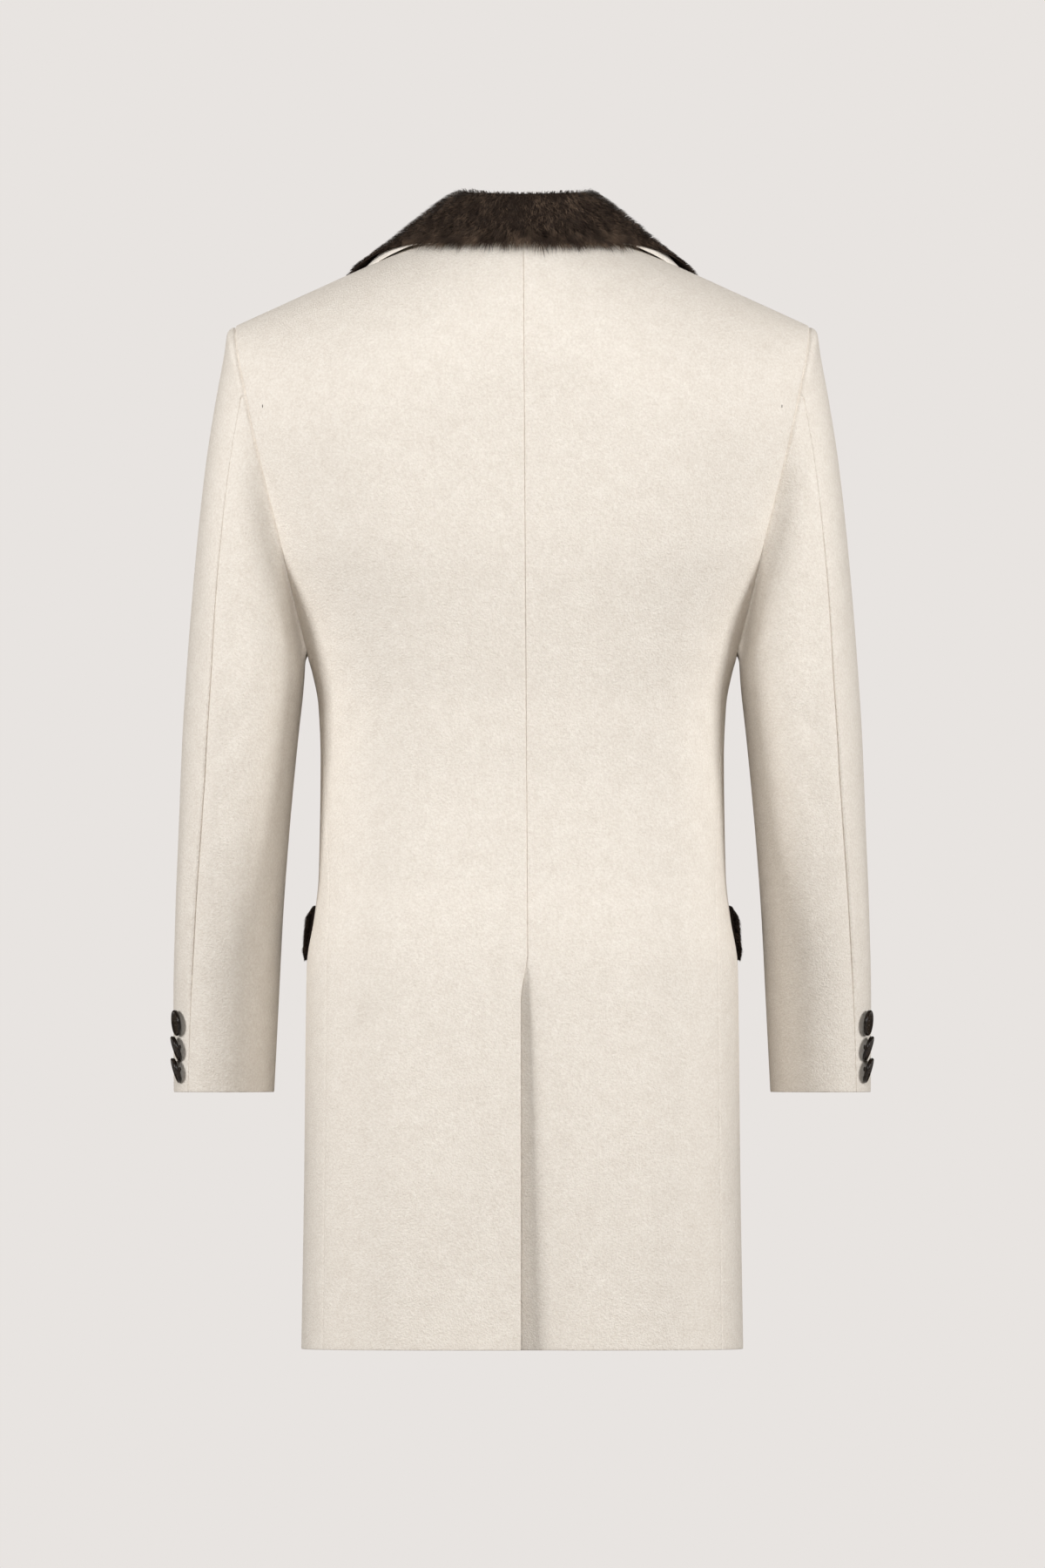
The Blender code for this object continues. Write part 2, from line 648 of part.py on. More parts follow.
def add_collar(fur, felt, parent):
    """The fur top collar over the felt under collar, both folded along the roll."""
    grid = collar_grid()
    fold = grid[:, STAND_STEPS : STAND_STEPS + 1] - np.array([0.0, 0.0, 0.03])
    normals = grid_normals(grid, fold)
    steps = grid.shape[1] - 1
    thickness = np.array([mix(FUR_WALL, FUR_EDGE, smooth_step((i / steps - 0.6) / 0.4)) for i in range(steps + 1)])
    skin = grid + normals * LAYER_GAP / 2
    add_wall("collar_fur", skin + normals * thickness[None, :, None], skin, fur, parent)
    lower = grid - normals * LAYER_GAP / 2
    add_wall("collar_under", lower, lower - normals * UNDER_WALL, felt, parent)


def front_frame(x, z, hand):
    """A point of a front's outer face and its outward normal, in the right front's own sense of x."""
    def skin(px, pz):
        lift = lap_lift(-px, pz) if hand == "left" else 0.0
        return np.array([px, form_y(px, pz, True) + lift, pz])

    step = 0.001
    across = skin(x + step, z) - skin(x - step, z)
    up = skin(x, z + step) - skin(x, z - step)
    normal = np.cross(up, across)
    normal /= np.linalg.norm(normal)
    return skin(x, z), normal


def lapel_share(z, foot_z=LEFT_LAPEL_FOOT_Z):
    return (z - foot_z) / (GORGE_Z - foot_z)


def lapel_row(hand, roll_z, into):
    """Points across a lapel, round its fold and over the front, at a depth into its cloth."""
    share = lapel_share(roll_z)
    drop = read(LAPEL, "drop", share)
    foot = RIGHT_FOOT_DROP * (1.0 - lapel_share(roll_z, RIGHT_LAPEL_FOOT_Z)) ** 2 if hand == "right" else 0.0
    roll_x = front_edge_x(roll_z)
    point, normal = front_frame(roll_x, roll_z, hand)
    beside, _ = front_frame(roll_x + 0.002, roll_z, hand)
    across = (beside - point) / np.linalg.norm(beside - point)
    row = []
    for deg in LAPEL_FOLD_DEGS:
        turn = math.radians(deg)
        radius = LAPEL_ROLL - into
        out = LAPEL_ROLL - WALL + radius * math.sin(turn)
        row.append(point - across * (SEAM_GAP + radius * math.cos(turn)) + normal * out)
    for j in range(1, LAPEL_FLAT_STEPS + 1):
        part = j / LAPEL_FLAT_STEPS
        fall = (drop + foot) * part + NOTCH_DROP * share**8 * smooth_step((part - 0.5) / 0.5)
        width = read(LAPEL, "width", lapel_share(roll_z - foot * part))
        base_x = front_edge_x(roll_z - foot * part)
        point, normal = front_frame(base_x + width * part, roll_z - fall, hand)
        out = mix(2.0 * LAPEL_ROLL - WALL, LAPEL_REST, smooth_step(part))
        row.append(point + normal * (out - into))
    return row


def add_lapel(hand, foot_z, felt, parent):
    """A lapel: the facing turned back along the roll line and laid over its front."""
    heights = [mix(foot_z, GORGE_Z - 0.004, i / LAPEL_ROWS) for i in range(LAPEL_ROWS + 1)]
    outer = np.array([lapel_row(hand, z, 0.0) for z in heights])
    inner = np.array([lapel_row(hand, z, WALL - HALF_GAP) for z in heights])
    if hand == "left":
        outer, inner = mirrored(outer), mirrored(inner)
    add_wall("lapel_" + hand, outer, inner, felt, parent)


def ring_walk(z, start_y, length, count):
    """Points of the right half ring from a place at the back of the side, walking forward."""
    degs = np.linspace(-35.0, 89.0, 400)
    track = []
    for deg in degs:
        x = ring_x(z, abs(deg), deg > 0.0)
        track.append((x, form_y(x, z, deg > 0.0)))
    track = np.array(track)
    walked = np.concatenate([[0.0], np.cumsum(np.linalg.norm(np.diff(track, axis=0), axis=1))])
    first = np.interp(start_y, track[:, 1], walked)
    stops = first + np.linspace(0.0, length, count)
    return np.stack([np.interp(stops, walked, track[:, k]) for k in range(2)], axis=1)


def flap_grid():
    """Outer face of the body under the right pocket flap, with the flap's lower corners rounded."""
    rows = []
    for j in range(FLAP_ROWS + 1):
        row = []
        for i in range(FLAP_COLUMNS + 1):
            along = FLAP_LENGTH * i / FLAP_COLUMNS
            into = max(0.0, FLAP_CORNER - min(along, FLAP_LENGTH - along))
            cut = FLAP_CORNER - math.sqrt(FLAP_CORNER**2 - into**2)
            z = FLAP_TOP_Z - (FLAP_HEIGHT - cut) * j / FLAP_ROWS
            place = ring_walk(z, FLAP_REAR_Y, FLAP_LENGTH, FLAP_COLUMNS + 1)[i]
            row.append((place[0], place[1], z))
        rows.append(row)
    return np.array(rows[::-1])


def add_flaps(fur, parent):
    """Fur pocket flaps that follow the cloth under them and thin out towards their edges."""
    grid = flap_grid()
    normals = grid_normals(grid, grid * np.array([0.0, 0.0, 1.0]))
    rows, columns = grid.shape[:2]
    thick = np.full((rows, columns), FLAP_WALL)
    thick[[0, -1]] *= 0.4
    thick[:, [0, -1]] *= 0.4
    inner = grid + normals * FLAP_GAP
    outer = inner + normals * thick[:, :, None]
    add_wall("flap_right", outer, inner, fur, parent)
    add_wall("flap_left", mirrored(outer), mirrored(inner), fur, parent)


def button_shape(size):
    """A turned horn button with a raised rim, a dished face and a thread shank, its back at z = 0."""
    shape = bmesh.new()
    profile = [
        (0.0, size.thickness - size.dish),
        (size.radius - size.rim, size.thickness - size.dish),
        (size.radius - size.rim * 0.6, size.thickness),
        (size.radius - size.rim * 0.2, size.thickness * 0.9),
        (size.radius, size.thickness * 0.5),
        (size.radius - size.rim * 0.4, 0.0),
        (size.shank_radius, 0.0),
    ]
    verts = [shape.verts.new((x, 0.0, z)) for x, z in profile]
    edges = [shape.edges.new(pair) for pair in zip(verts, verts[1:])]
    bmesh.ops.spin(
        shape, geom=verts + edges, cent=(0, 0, 0), axis=(0, 0, 1), angle=math.tau,
        steps=BUTTON_SIDES, use_merge=True, use_duplicate=False,
    )  # fmt: skip
    bmesh.ops.remove_doubles(shape, verts=shape.verts[:], dist=1e-6)
    return shape


def add_button(name, size, place, face, up, stand, material, parent):
    """A button facing a way, on a shank that reaches back to the cloth."""
    shape = button_shape(size)
    rim = [edge for edge in shape.edges if edge.is_boundary]
    foot = bmesh.ops.extrude_edge_only(shape, edges=rim)
    feet = [item for item in foot["geom"] if isinstance(item, bmesh.types.BMVert)]
    bmesh.ops.translate(shape, verts=feet, vec=(0.0, 0.0, -stand))
    bmesh.ops.contextual_create(shape, geom=[edge for edge in shape.edges if edge.is_boundary])
    bmesh.ops.recalc_face_normals(shape, faces=shape.faces[:])
    face = Vector(face).normalized()
    side = Vector(up).cross(face).normalized()
    turn = Matrix((side, face.cross(side), face)).transposed().to_4x4()
    made = add_object(name, shape, material, parent)
    made.matrix_world = Matrix.Translation(place) @ turn
    return made


def cuff_place(z):
    """A point of the right sleeve beside its back seam and the way its cloth faces."""
    heights = [section.outer_z for section in SLEEVE]
    i = next(k for k in range(len(heights) - 1) if heights[k + 1] <= z)
    share = (z - heights[i]) / (heights[i + 1] - heights[i])
    section = SleeveSection(*[mix(a, b, share) for a, b in zip(SLEEVE[i], SLEEVE[i + 1])])
    turn = math.radians(CUFF_BUTTON_DEG)
    before, point, after = sleeve_ring(section, [turn - 0.02, turn, turn + 0.02])
    way = np.cross(after - before, np.array([0.0, 0.0, 1.0]))
    if way[0] < 0.0:
        way = -way
    return point, way / np.linalg.norm(way)


def add_buttons(horn, parent):
    """Three overlapping buttons on each cuff, and the buttons that close the front."""
    tilt = math.radians(CUFF_BUTTON_TILT_DEG)
    for number, z in enumerate(CUFF_BUTTON_ZS, start=1):
        point, way = cuff_place(z)
        face = way * math.cos(tilt) - np.array([0.0, 0.0, math.sin(tilt)])
        place = point + way * CUFF_BUTTON_STAND
        stand = CUFF_BUTTON_STAND / math.cos(tilt) - SEAM_GAP - 0.0006
        for hand, flip in (("right", 1.0), ("left", -1.0)):
            turn = np.array([flip, 1.0, 1.0])
            name = f"cuff_button_{hand}_{number}"
            add_button(name, CUFF_BUTTON, place * turn, face * turn, (0, 0, 1), stand, horn, parent)
    for number, z in enumerate(FRONT_BUTTON_ZS, start=1):
        point, way = front_frame(0.0, z, "left")
        place = point + way * FRONT_BUTTON_STAND
        stand = FRONT_BUTTON_STAND - SEAM_GAP
        add_button(f"front_button_{number}", FRONT_BUTTON, place, way, (0, 0, 1), stand, horn, parent)


def main():
    for old in list(bpy.data.objects):
        bpy.data.objects.remove(old)
    felt = make_material("cream_felt", FELT_COLOUR, 0.9)
    fur = make_material("brown_fur", FUR_COLOUR, 0.8)
    horn = make_material("dark_horn", HORN_COLOUR, 0.3)
    coat = bpy.data.objects.new("coat", None)
    bpy.context.scene.collection.objects.link(coat)
    for name, panel in body_panels().items():
        add_sewn_panel(name, panel, felt, coat)
    add_collar(fur, felt, coat)
    add_lapel("left", LEFT_LAPEL_FOOT_Z, felt, coat)
    add_lapel("right", RIGHT_LAPEL_FOOT_Z, felt, coat)
    add_flaps(fur, coat)
    add_buttons(horn, coat)


main()
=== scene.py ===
"""Looks of a cream felt overcoat with a dark fur collar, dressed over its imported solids.

The cloth repeats the sizes of the cut, in metres, and is drawn much finer than the solids. The back of the
coat faces -Y, its front faces +Y, and +X is the wearer's right.
"""

import math
from collections import namedtuple
from functools import wraps

import bmesh
import bpy
import numpy as np
from mathutils import Matrix, Vector


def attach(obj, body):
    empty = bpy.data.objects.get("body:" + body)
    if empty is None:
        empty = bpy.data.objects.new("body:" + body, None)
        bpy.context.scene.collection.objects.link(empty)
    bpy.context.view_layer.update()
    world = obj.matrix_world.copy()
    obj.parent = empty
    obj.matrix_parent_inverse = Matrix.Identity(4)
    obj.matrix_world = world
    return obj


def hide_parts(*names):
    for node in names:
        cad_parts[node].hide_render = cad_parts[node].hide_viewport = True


bl_info = {
    "name": "Felt coat",
    "version": (1, 0, 0),
    "blender": (4, 5, 0),
    "location": "View3D > Sidebar > Coat",
    "description": "Dresses the solids of a felt coat: felt, fur collar and flaps, horn buttons and a studio",
    "category": "Object",
}

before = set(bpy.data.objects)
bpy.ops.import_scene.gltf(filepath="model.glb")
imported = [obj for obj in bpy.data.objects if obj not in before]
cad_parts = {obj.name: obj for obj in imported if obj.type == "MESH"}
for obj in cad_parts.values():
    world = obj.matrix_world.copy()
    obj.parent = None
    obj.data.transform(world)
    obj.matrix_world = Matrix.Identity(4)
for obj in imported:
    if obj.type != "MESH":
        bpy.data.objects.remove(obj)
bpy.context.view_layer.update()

# Thickness of the felt, and the gap between two pieces at a seam
WALL = 0.0025
SEAM_GAP = 0.0003

# The right side, and the left one as its mirror image
HANDS = {"right": np.array([1.0, 1.0, 1.0]), "left": np.array([-1.0, 1.0, 1.0])}

# Heights and edges of the cut
HEM_Z = -0.9506
VENT_TOP_Z = -0.6079
BREAK_Z = -0.400
UNDERARM_Z = -0.3560
SHOULDER_X, SHOULDER_Z = 0.2459, -0.0778
SHOULDER_SLOPE = 0.459
RIDGE_PEAK = 0.0372
RIDGE_ROUND = 0.030
ROUND = {"back": 0.130, "front": 0.190}
CROWN = {"back": 2.0, "front": 1.6}
ARMHOLE_EDGE_DEG = {"back": 25.5, "front": 27.0}
EDGE_BLEND = 0.10
NECK_HALF = 0.078
NECK_BACK = 0.060
LAP = 0.030
LAP_LIFT = 0.0042
LAP_FADE = 0.050
LAP_TOP_Z = -0.120
LAP_RISE = 0.150
GORGE_Z = -0.085

# Centre back seam and vent
SEAM_TOP_X = 0.0009
SEAM_VENT_X = 0.0047
SEAM_FADE = 0.075
VENT_EDGE_X = -0.0013
VENT_SWING = 0.046
# The right back laps behind the left: x of its columns, at their shares of the way to the armhole
VENT_SHARES = [0.0, 0.0517, 0.1152, 0.1635, 0.1815]
VENT_LAPPED = [-0.045, -0.003, 0.009, 0.024]
# Distance below the vent's top where the lap starts, and the one over which it spreads
VENT_SPREAD = (0.010, 0.055)
# It sinks to this depth over a short way, a little less at the top and more at the hem
VENT_DEPTH = 0.0095
VENT_SINK_RISE = 0.050
VENT_SINK_SHARES = (0.85, 1.5)
# Distance from the left edge at which it starts to sink, at the top and at the hem, and the curves of both
VENT_TURN = (0.008, 0.050)
VENT_TURN_POWER = 0.7
VENT_ROLL_POWER = 1.15
VENT_FOLD_FADE = 0.010

# A small stitch left beside each armhole
TACK_X, TACK_Z, TACK_LENGTH = 0.2218, -0.1453, 0.0024
TACK_RADIUS = 0.0003
TACK_OUT = 0.0002

# Weights of the seams: nearly flat at the sides and under the arm, sharp round the armhole
SIDE_SEAM = 0.3
ARMHOLE_SEAM = 1.2
ARMHOLE_SEAM_RISE = 0.05
# How far hems and cuffs are rounded off, as a share of a whole fold
HEM_FOLD = 0.3
# Part of the wall that a fold rounds off on each side
FOLD_ROUND = 0.42
# Share of a seam's sinking that the inner skin follows
INNER_SINK = 0.5

# Sleeve seams, as angles round the sleeve from its outer line
SLEEVE_FRONT_SEAM_DEG = 227.95
SLEEVE_SEAM_SHIFT = 7.0
SLEEVE_SQUARE = 2.2
# Share by which the sleeve is deeper along its outer line than along its inner one
SLEEVE_SKEW = 0.05
# How much flatter the back of the under sleeve is than the rest
SLEEVE_FLAT = 0.42
# First ring of the hanging sleeve, and the number of rings over which it takes its own shape
SLEEVE_HANGS = (3.5, 3.5)
# Usual distances round the sleeve: a quarter of it, the upper piece and the under piece
SLEEVE_QUARTER = 0.11
UPPER_ROUND, UPPER_COLUMNS = 0.26, 48
UNDER_ROUND, UNDER_COLUMNS = 0.22, 40
SLEEVE_BLEND_RINGS = 5.0
ARMHOLE_RING, CUFF_RING = -1.0, 10.0
# Distance between the rings next to the armhole and next to the cuff
ARMHOLE_RING_GAP, CUFF_RING_GAP = 0.012, 0.075
SLEEVE_INNER_RINGS = (-0.5, 9.92)
# Weight of the front seam, and of the back one at its top, above the elbow, below it and at the cuff
FRONT_SEAM = 0.6
BACK_SEAM_TOP, BACK_SEAM_HIGH, BACK_SEAM_LOW, BACK_SEAM_CUFF = 0.9, 0.25, 1.0, 0.45
# Rings at which the back seam changes, each as a start and a length
SEAM_STARTS, SEAM_TOP_FADES, SEAM_SHARPENS, SEAM_SOFTENS = (-1.0, 0.5), (0.0, 1.5), (2.0, 4.0), (8.4, 1.0)
# The edge of the upper piece stands out beside the back seam, and that of the under piece lies in
UPPER_LIP, UNDER_LIP = 0.0007, -0.0008

# Width of the lip along a seam whose two edges lie at different heights
LIP_WIDTH = 0.0065

# Distances from an edge at which a panel has closer lines, for its seams and folds
EDGE_STEPS = np.array([0.0, 0.0003, 0.0008, 0.0016, 0.0028, 0.0048])


class SizeTable:
    """Sizes by their first column, read between rows along smooth curves that never overshoot."""

    def __init__(self, columns, rows):
        table = np.array(rows, float).T
        self.keys = table[0]
        self.values = dict(zip(columns.split(), table))
        self.slopes = {}
        for name, values in self.values.items():
            steps = np.diff(values) / np.diff(self.keys)
            before, after = steps[:-1], steps[1:]
            turns = before * after <= 0.0
            total = np.where(turns, 1.0, before + after)
            inner = np.where(turns, 0.0, 2.0 * before * after / total)
            self.slopes[name] = np.concatenate([steps[:1], inner, steps[-1:]])

    def read(self, column, at):
        at = np.clip(at, self.keys[0], self.keys[-1])
        i = np.clip(np.searchsorted(self.keys, at, side="right") - 1, 0, len(self.keys) - 2)
        gap = self.keys[i + 1] - self.keys[i]
        t = (at - self.keys[i]) / gap
        values, slopes = self.values[column], self.slopes[column]
        eased = mix(values[i], values[i + 1], smooth_step(t))
        return eased + gap * (slopes[i] * t * (1.0 - t) ** 2 - slopes[i + 1] * t * t * (1.0 - t))


def smooth_step(value):
    share = np.clip(value, 0.0, 1.0)
    return share * share * (3.0 - 2.0 * share)


def ramp(value, start, length):
    """A smooth rise from 0 to 1 over a length from its start."""
    return smooth_step((value - start) / length)


def mix(a, b, share):
    return a + (b - a) * share


BODY = SizeTable("height half_width back front square back_seam_deg front_seam_deg", [
    (HEM_Z, 0.1890, 0.150, 0.150, 3.20, 32.0, 40.0),
    (-0.8070, 0.1866, 0.147, 0.146, 3.20, 31.5, 40.0),
    (-0.6580, 0.1850, 0.140, 0.140, 3.10, 31.0, 39.0),
    (-0.6206, 0.1842, 0.137, 0.138, 3.05, 30.5, 38.0),
    (-0.5830, 0.1782, 0.131, 0.136, 3.00, 26.0, 36.0),
    (-0.5460, 0.1741, 0.123, 0.133, 2.90, 22.0, 34.0),
    (-0.4455, 0.1725, 0.112, 0.128, 2.70, 12.0, 30.0),
    (-0.4000, 0.1745, 0.112, 0.128, 2.65, 6.5, 24.0),
    (-0.3747, 0.1792, 0.114, 0.129, 2.60, 6.0, 19.0),
    (UNDERARM_Z, 0.1845, 0.116, 0.130, 2.60, 5.8, 14.6),
    (-0.2500, 0.2100, 0.126, 0.132, 2.60, 5.8, 14.6),
    (-0.1500, 0.2400, 0.124, 0.126, 2.60, 5.8, 14.6),
    (-0.0400, 0.2660, 0.118, 0.114, 2.60, 5.8, 14.6),
    (0.0300, 0.2660, 0.118, 0.112, 2.60, 5.8, 14.6),
])

ARMHOLE = SizeTable("height back_x front_x", [
    (UNDERARM_Z, 0.1838, 0.1799),
    (-0.3040, 0.1972, 0.1850),
    (-0.2518, 0.2099, 0.1915),
    (-0.1922, 0.2248, 0.2040),
    (-0.1386, 0.2364, 0.2220),
    (SHOULDER_Z, SHOULDER_X, SHOULDER_X),
    (0.0300, SHOULDER_X, SHOULDER_X),
])

# The first ring is the armhole itself
SLEEVE = SizeTable("ring outer_x outer_z inner_x inner_z back front middle_y", [
    (-1.0, 0.2459, -0.0778, 0.1845, -0.3560, 0.068, 0.064, 0.000),
    (0.0, 0.2518, -0.0827, 0.1852, -0.3595, 0.068, 0.064, 0.000),
    (1.0, 0.2550, -0.1020, 0.1856, -0.3645, 0.070, 0.066, 0.000),
    (2.0, 0.2620, -0.1400, 0.1859, -0.3700, 0.073, 0.068, 0.000),
    (3.0, 0.2700, -0.1900, 0.1862, -0.3760, 0.076, 0.071, 0.000),
    (4.0, 0.2775, -0.2550, 0.1867, -0.3830, 0.078, 0.074, 0.000),
    (5.0, 0.2861, -0.3561, 0.1876, -0.3930, 0.078, 0.076, 0.000),
    (6.0, 0.2909, -0.4306, 0.1918, -0.4306, 0.075, 0.074, 0.001),
    (7.0, 0.2939, -0.5051, 0.1989, -0.5051, 0.069, 0.070, 0.005),
    (8.0, 0.2969, -0.5796, 0.2045, -0.5796, 0.063, 0.065, 0.014),
    (9.0, 0.2986, -0.6541, 0.2084, -0.6541, 0.058, 0.060, 0.026),
    (10.0, 0.2984, -0.7315, 0.2124, -0.7315, 0.0545, 0.0565, 0.038),
])

# The back seam of the sleeve bows a little round its elbow
SLEEVE_SEAM = SizeTable("ring back_deg", [
    (-1.0, 52.0),
    (1.0, 50.0),
    (4.0, 55.0),
    (5.0, 56.1),
    (6.5, 55.4),
    (7.9, 52.1),
    (9.5, 47.5),
    (10.0, 45.5),
])

# Collar: apex of the roll and outer edge of the leaf, from the centre back to the gorge
COLLAR = SizeTable("along apex_x apex_y apex_z edge_x edge_y edge_z", [
    (-0.20, -0.027, -0.0600, 0.0342, -0.048, -0.0655, -0.0055),
    (0.00, 0.000, -0.0665, 0.0336, 0.000, -0.0840, -0.0050),
    (0.20, 0.027, -0.0600, 0.0342, 0.048, -0.0655, -0.0055),
    (0.38, 0.0455, -0.0400, 0.0352, 0.085, -0.0385, -0.0060),
    (0.50, 0.0550, -0.0180, 0.0355, 0.112, -0.0180, -0.0105),
    (0.60, 0.0580, 0.0100, 0.0270, 0.1440, 0.0030, -0.0285),
    (0.72, 0.0640, 0.0585, -0.0083, 0.1535, 0.0340, -0.0480),
    (0.86, 0.0590, 0.0854, -0.0425, 0.1570, 0.0560, -0.0705),
    (1.00, 0.0490, 0.1022, -0.0783, 0.1480, 0.0755, -0.0955),
])
COLLAR_NECK_SHARE = 0.60
COLLAR_SHIFT = 0.0030
COLLAR_STATIONS = 73
STAND_STEPS = 10
LEAF_STEPS = 18
# Gap at the neck seam, and how strongly the section leaves and reaches its roll and its edge
COLLAR_RAISE = 0.0020
STAND_HOLLOW = 0.3
ROLL_SHARE, ROLL_REACH = 0.8, 0.002
LEAF_START, LEAF_END = 0.013, 0.9
FUR_WALL = 0.0050
FUR_EDGE = 0.0015
UNDER_WALL = 0.0016
LAYER_GAP = 0.0006
# How far the edge of the under collar settles towards the shoulder beside the collar's tips
UNDER_DROOP = 0.0066
# Share of the fur's depth that is hide and dense underfur, below the loose hair
UNDERFUR = 0.45
# Extra length of the hair that hangs past the collar's edge, and of the hair away from the roll
FRINGE = 0.0060
LEAF_HAIR = 0.0011
# Slant of the hair at the roll and away from it, in radians
ROLL_SLANT, LEAF_SLANT = 1.4, 0.95
# How much closer the hair stands at the edge
EDGE_CROWD = 4.0
# Stretches along the collar, each as a start and a length in shares from the centre back to the tip
COLLAR_FRONT = (0.5, 0.3)
UNDER_SETTLES, UNDER_RISES = (0.41, 0.17), (0.86, 0.12)
FRINGE_ENDS = (0.36, 0.12)
# Stretches across it, in shares from the neck seam to the edge
FUR_THINS, UNDER_EDGE, FRINGE_STARTS, CROWD_STARTS = (0.6, 0.4), (0.84, 0.16), (0.72, 0.28), (0.82, 0.18)
# Stretches from its roll, in shares of the leaf
HAIR_STANDS, HAIR_GROWS = (0.0, 0.5), (0.0, 0.4)
# Depth below the roll of a point that both sides of the fold face away from
FOLD_INSIDE = 0.03
COLLAR_SEED = 11

LAPEL = SizeTable("along width drop", [
    (0.00, 0.012, 0.000),
    (0.25, 0.040, 0.002),
    (0.50, 0.064, 0.006),
    (0.75, 0.086, 0.011),
    (1.00, 0.104, 0.017),
])
LAPEL_FOOT_Z = {"left": -0.385, "right": -0.262}
RIGHT_FOOT_DROP = 0.050
LAPEL_ROLL = 0.00525
LAPEL_FOOT_ROLL = 0.0030
LAPEL_FOOT_SHARE = 0.25
LAPEL_REST = 0.0040
LAPEL_GORGE_GAP = 0.004
LAPEL_ROWS = 48
LAPEL_FOLD_STEPS = 12
LAPEL_FLAT_STEPS = 20
LAPEL_USUAL_WIDTH = 0.08
NOTCH_DROP = 0.020
NOTCH_POWER = 8
# Step to either side of a place on a front, from which its slope is read
PROBE = 0.001

FLAP_TOP_Z = -0.5722
FLAP_HEIGHT = 0.046
FLAP_LENGTH = 0.165
FLAP_REAR_Y = -0.006
FLAP_CORNER = 0.020
FLAP_WALL = 0.0036
FLAP_GAP = 0.0007
# How far the flap's fur stands out below its seam, where the body is hollower than the flap
FLAP_BULGE = 0.0026
# Shares of its height, from the seam down, where it swells and where it settles again
FLAP_SWELLS, FLAP_SETTLES = (0.0, 0.22), (0.25, 0.45)
FLAP_EDGE_SHARE, FLAP_EDGE_WIDTH = 0.35, 0.010
FLAP_SLANT = 1.05
FLAP_HAIR = 0.0010
FLAP_COLUMNS = 54
FLAP_ROWS = 16
# Angles between which a flap's places are looked for
FLAP_DEGS = np.linspace(-35.0, 89.0, 300)
FLAP_SEED = 21

# Spread of the slant and turn in radians, of the length and of the tint, for tufts and for hairs in a tuft
TUFT_SLANT, HAIR_SLANT = 0.16, 0.14
TUFT_TURN, HAIR_TURN = 0.35, 0.30
TUFT_LENGTH, HAIR_LENGTHS = 0.08, (0.75, 1.15)
TUFT_TINT, HAIR_TINT, MEAN_TINT = 0.30, 0.2, 0.45
HAIR_SPIN = 0.9
HAIR_WIDTHS = (0.7, 1.3)
# A hair starts steeper than its slant and droops past it, and is three quarters as wide at its middle
START_SLANT, DROOP_SLANT = 0.6, 1.3
MIDDLE_WIDTH, MIDDLE_SHADE = 0.75, 0.6
# A slanted hair is longer, so that the pile keeps its depth, up to this cosine
LEAST_COSINE = 0.45

ButtonSize = namedtuple("ButtonSize", "radius thickness rim dish shank_radius hole_radius hole_ring")
CUFF_BUTTON = ButtonSize(0.0112, 0.0034, 0.0024, 0.0010, 0.0016, 0.0009, 0.0027)
FRONT_BUTTON = ButtonSize(0.0140, 0.0042, 0.0030, 0.0012, 0.0020, 0.0011, 0.0034)
# Each cuff button leans on the next: its top stands out by the tilt, and its face turns out by the turn
CuffPlace = namedtuple("CuffPlace", "z tilt_deg turn_deg")
CUFF_PLACES = [
    CuffPlace(-0.6720, 6.0, 10.5),
    CuffPlace(-0.6935, 18.0, 17.0),
    CuffPlace(-0.7123, 17.0, 18.0),
]
CUFF_BUTTON_DEG = 32.0
CUFF_BUTTON_STAND = 0.0023
FRONT_BUTTON_ZS = [-0.415, -0.530, -0.645]
FRONT_BUTTON_STAND = 0.0016
BUTTON_SIDES, HOLE_SIDES = 48, 12
BUTTON_SHARP_DEG = 50.0
# Sewing thread: bars of three strands that dip into the holes, and a shank that sinks into the cloth
STRAND_RADIUS, STRAND_PITCH = 0.00022, 0.00035
BAR_STEPS, BAR_DIP, BAR_ARCH = 8, 0.0012, 0.0017
SHANK_STRAND, SHANK_TURNS, SHANK_STEPS = 0.00045, 5, 10
SHANK_TOP, SHANK_SUNK = 0.0003, 0.0008

# Soft folds of the hanging cloth: a ridge where height is positive, a trough where it is negative
Crease = namedtuple("Crease", "x z reach width lean_deg height")
BACK_CREASES = [
    Crease(-0.119, -0.185, 0.085, 0.048, 8.0, 0.0030),
    Crease(0.121, -0.190, 0.090, 0.050, -8.0, 0.0030),
    Crease(0.002, -0.230, 0.130, 0.030, 0.0, -0.0022),
    Crease(0.101, -0.304, 0.050, 0.011, -4.0, -0.0016),
    Crease(-0.098, -0.325, 0.040, 0.012, 6.0, -0.0009),
    Crease(-0.112, -0.850, 0.130, 0.028, 2.0, 0.0034),
    Crease(0.112, -0.830, 0.140, 0.030, -2.0, 0.0036),
    Crease(-0.040, -0.905, 0.110, 0.020, 3.0, -0.0026),
    Crease(0.070, -0.900, 0.090, 0.018, -3.0, -0.0014),
    Crease(-0.126, -0.669, 0.028, 0.007, 52.0, -0.0012),
    Crease(0.128, -0.655, 0.024, 0.008, -48.0, -0.0009),
    Crease(-0.150, -0.425, 0.030, 0.008, 30.0, -0.0012),
    Crease(0.152, -0.430, 0.028, 0.008, -32.0, -0.0012),
]
FRONT_CREASES = [
    Crease(-0.110, -0.800, 0.150, 0.030, 2.0, 0.0035),
    Crease(0.115, -0.820, 0.140, 0.028, -3.0, 0.0032),
    Crease(0.055, -0.880, 0.100, 0.020, -2.0, -0.0022),
    Crease(-0.060, -0.900, 0.090, 0.018, 2.0, -0.0018),
    Crease(0.060, -0.440, 0.050, 0.010, 62.0, -0.0014),
    Crease(-0.065, -0.445, 0.045, 0.010, -60.0, -0.0012),
]
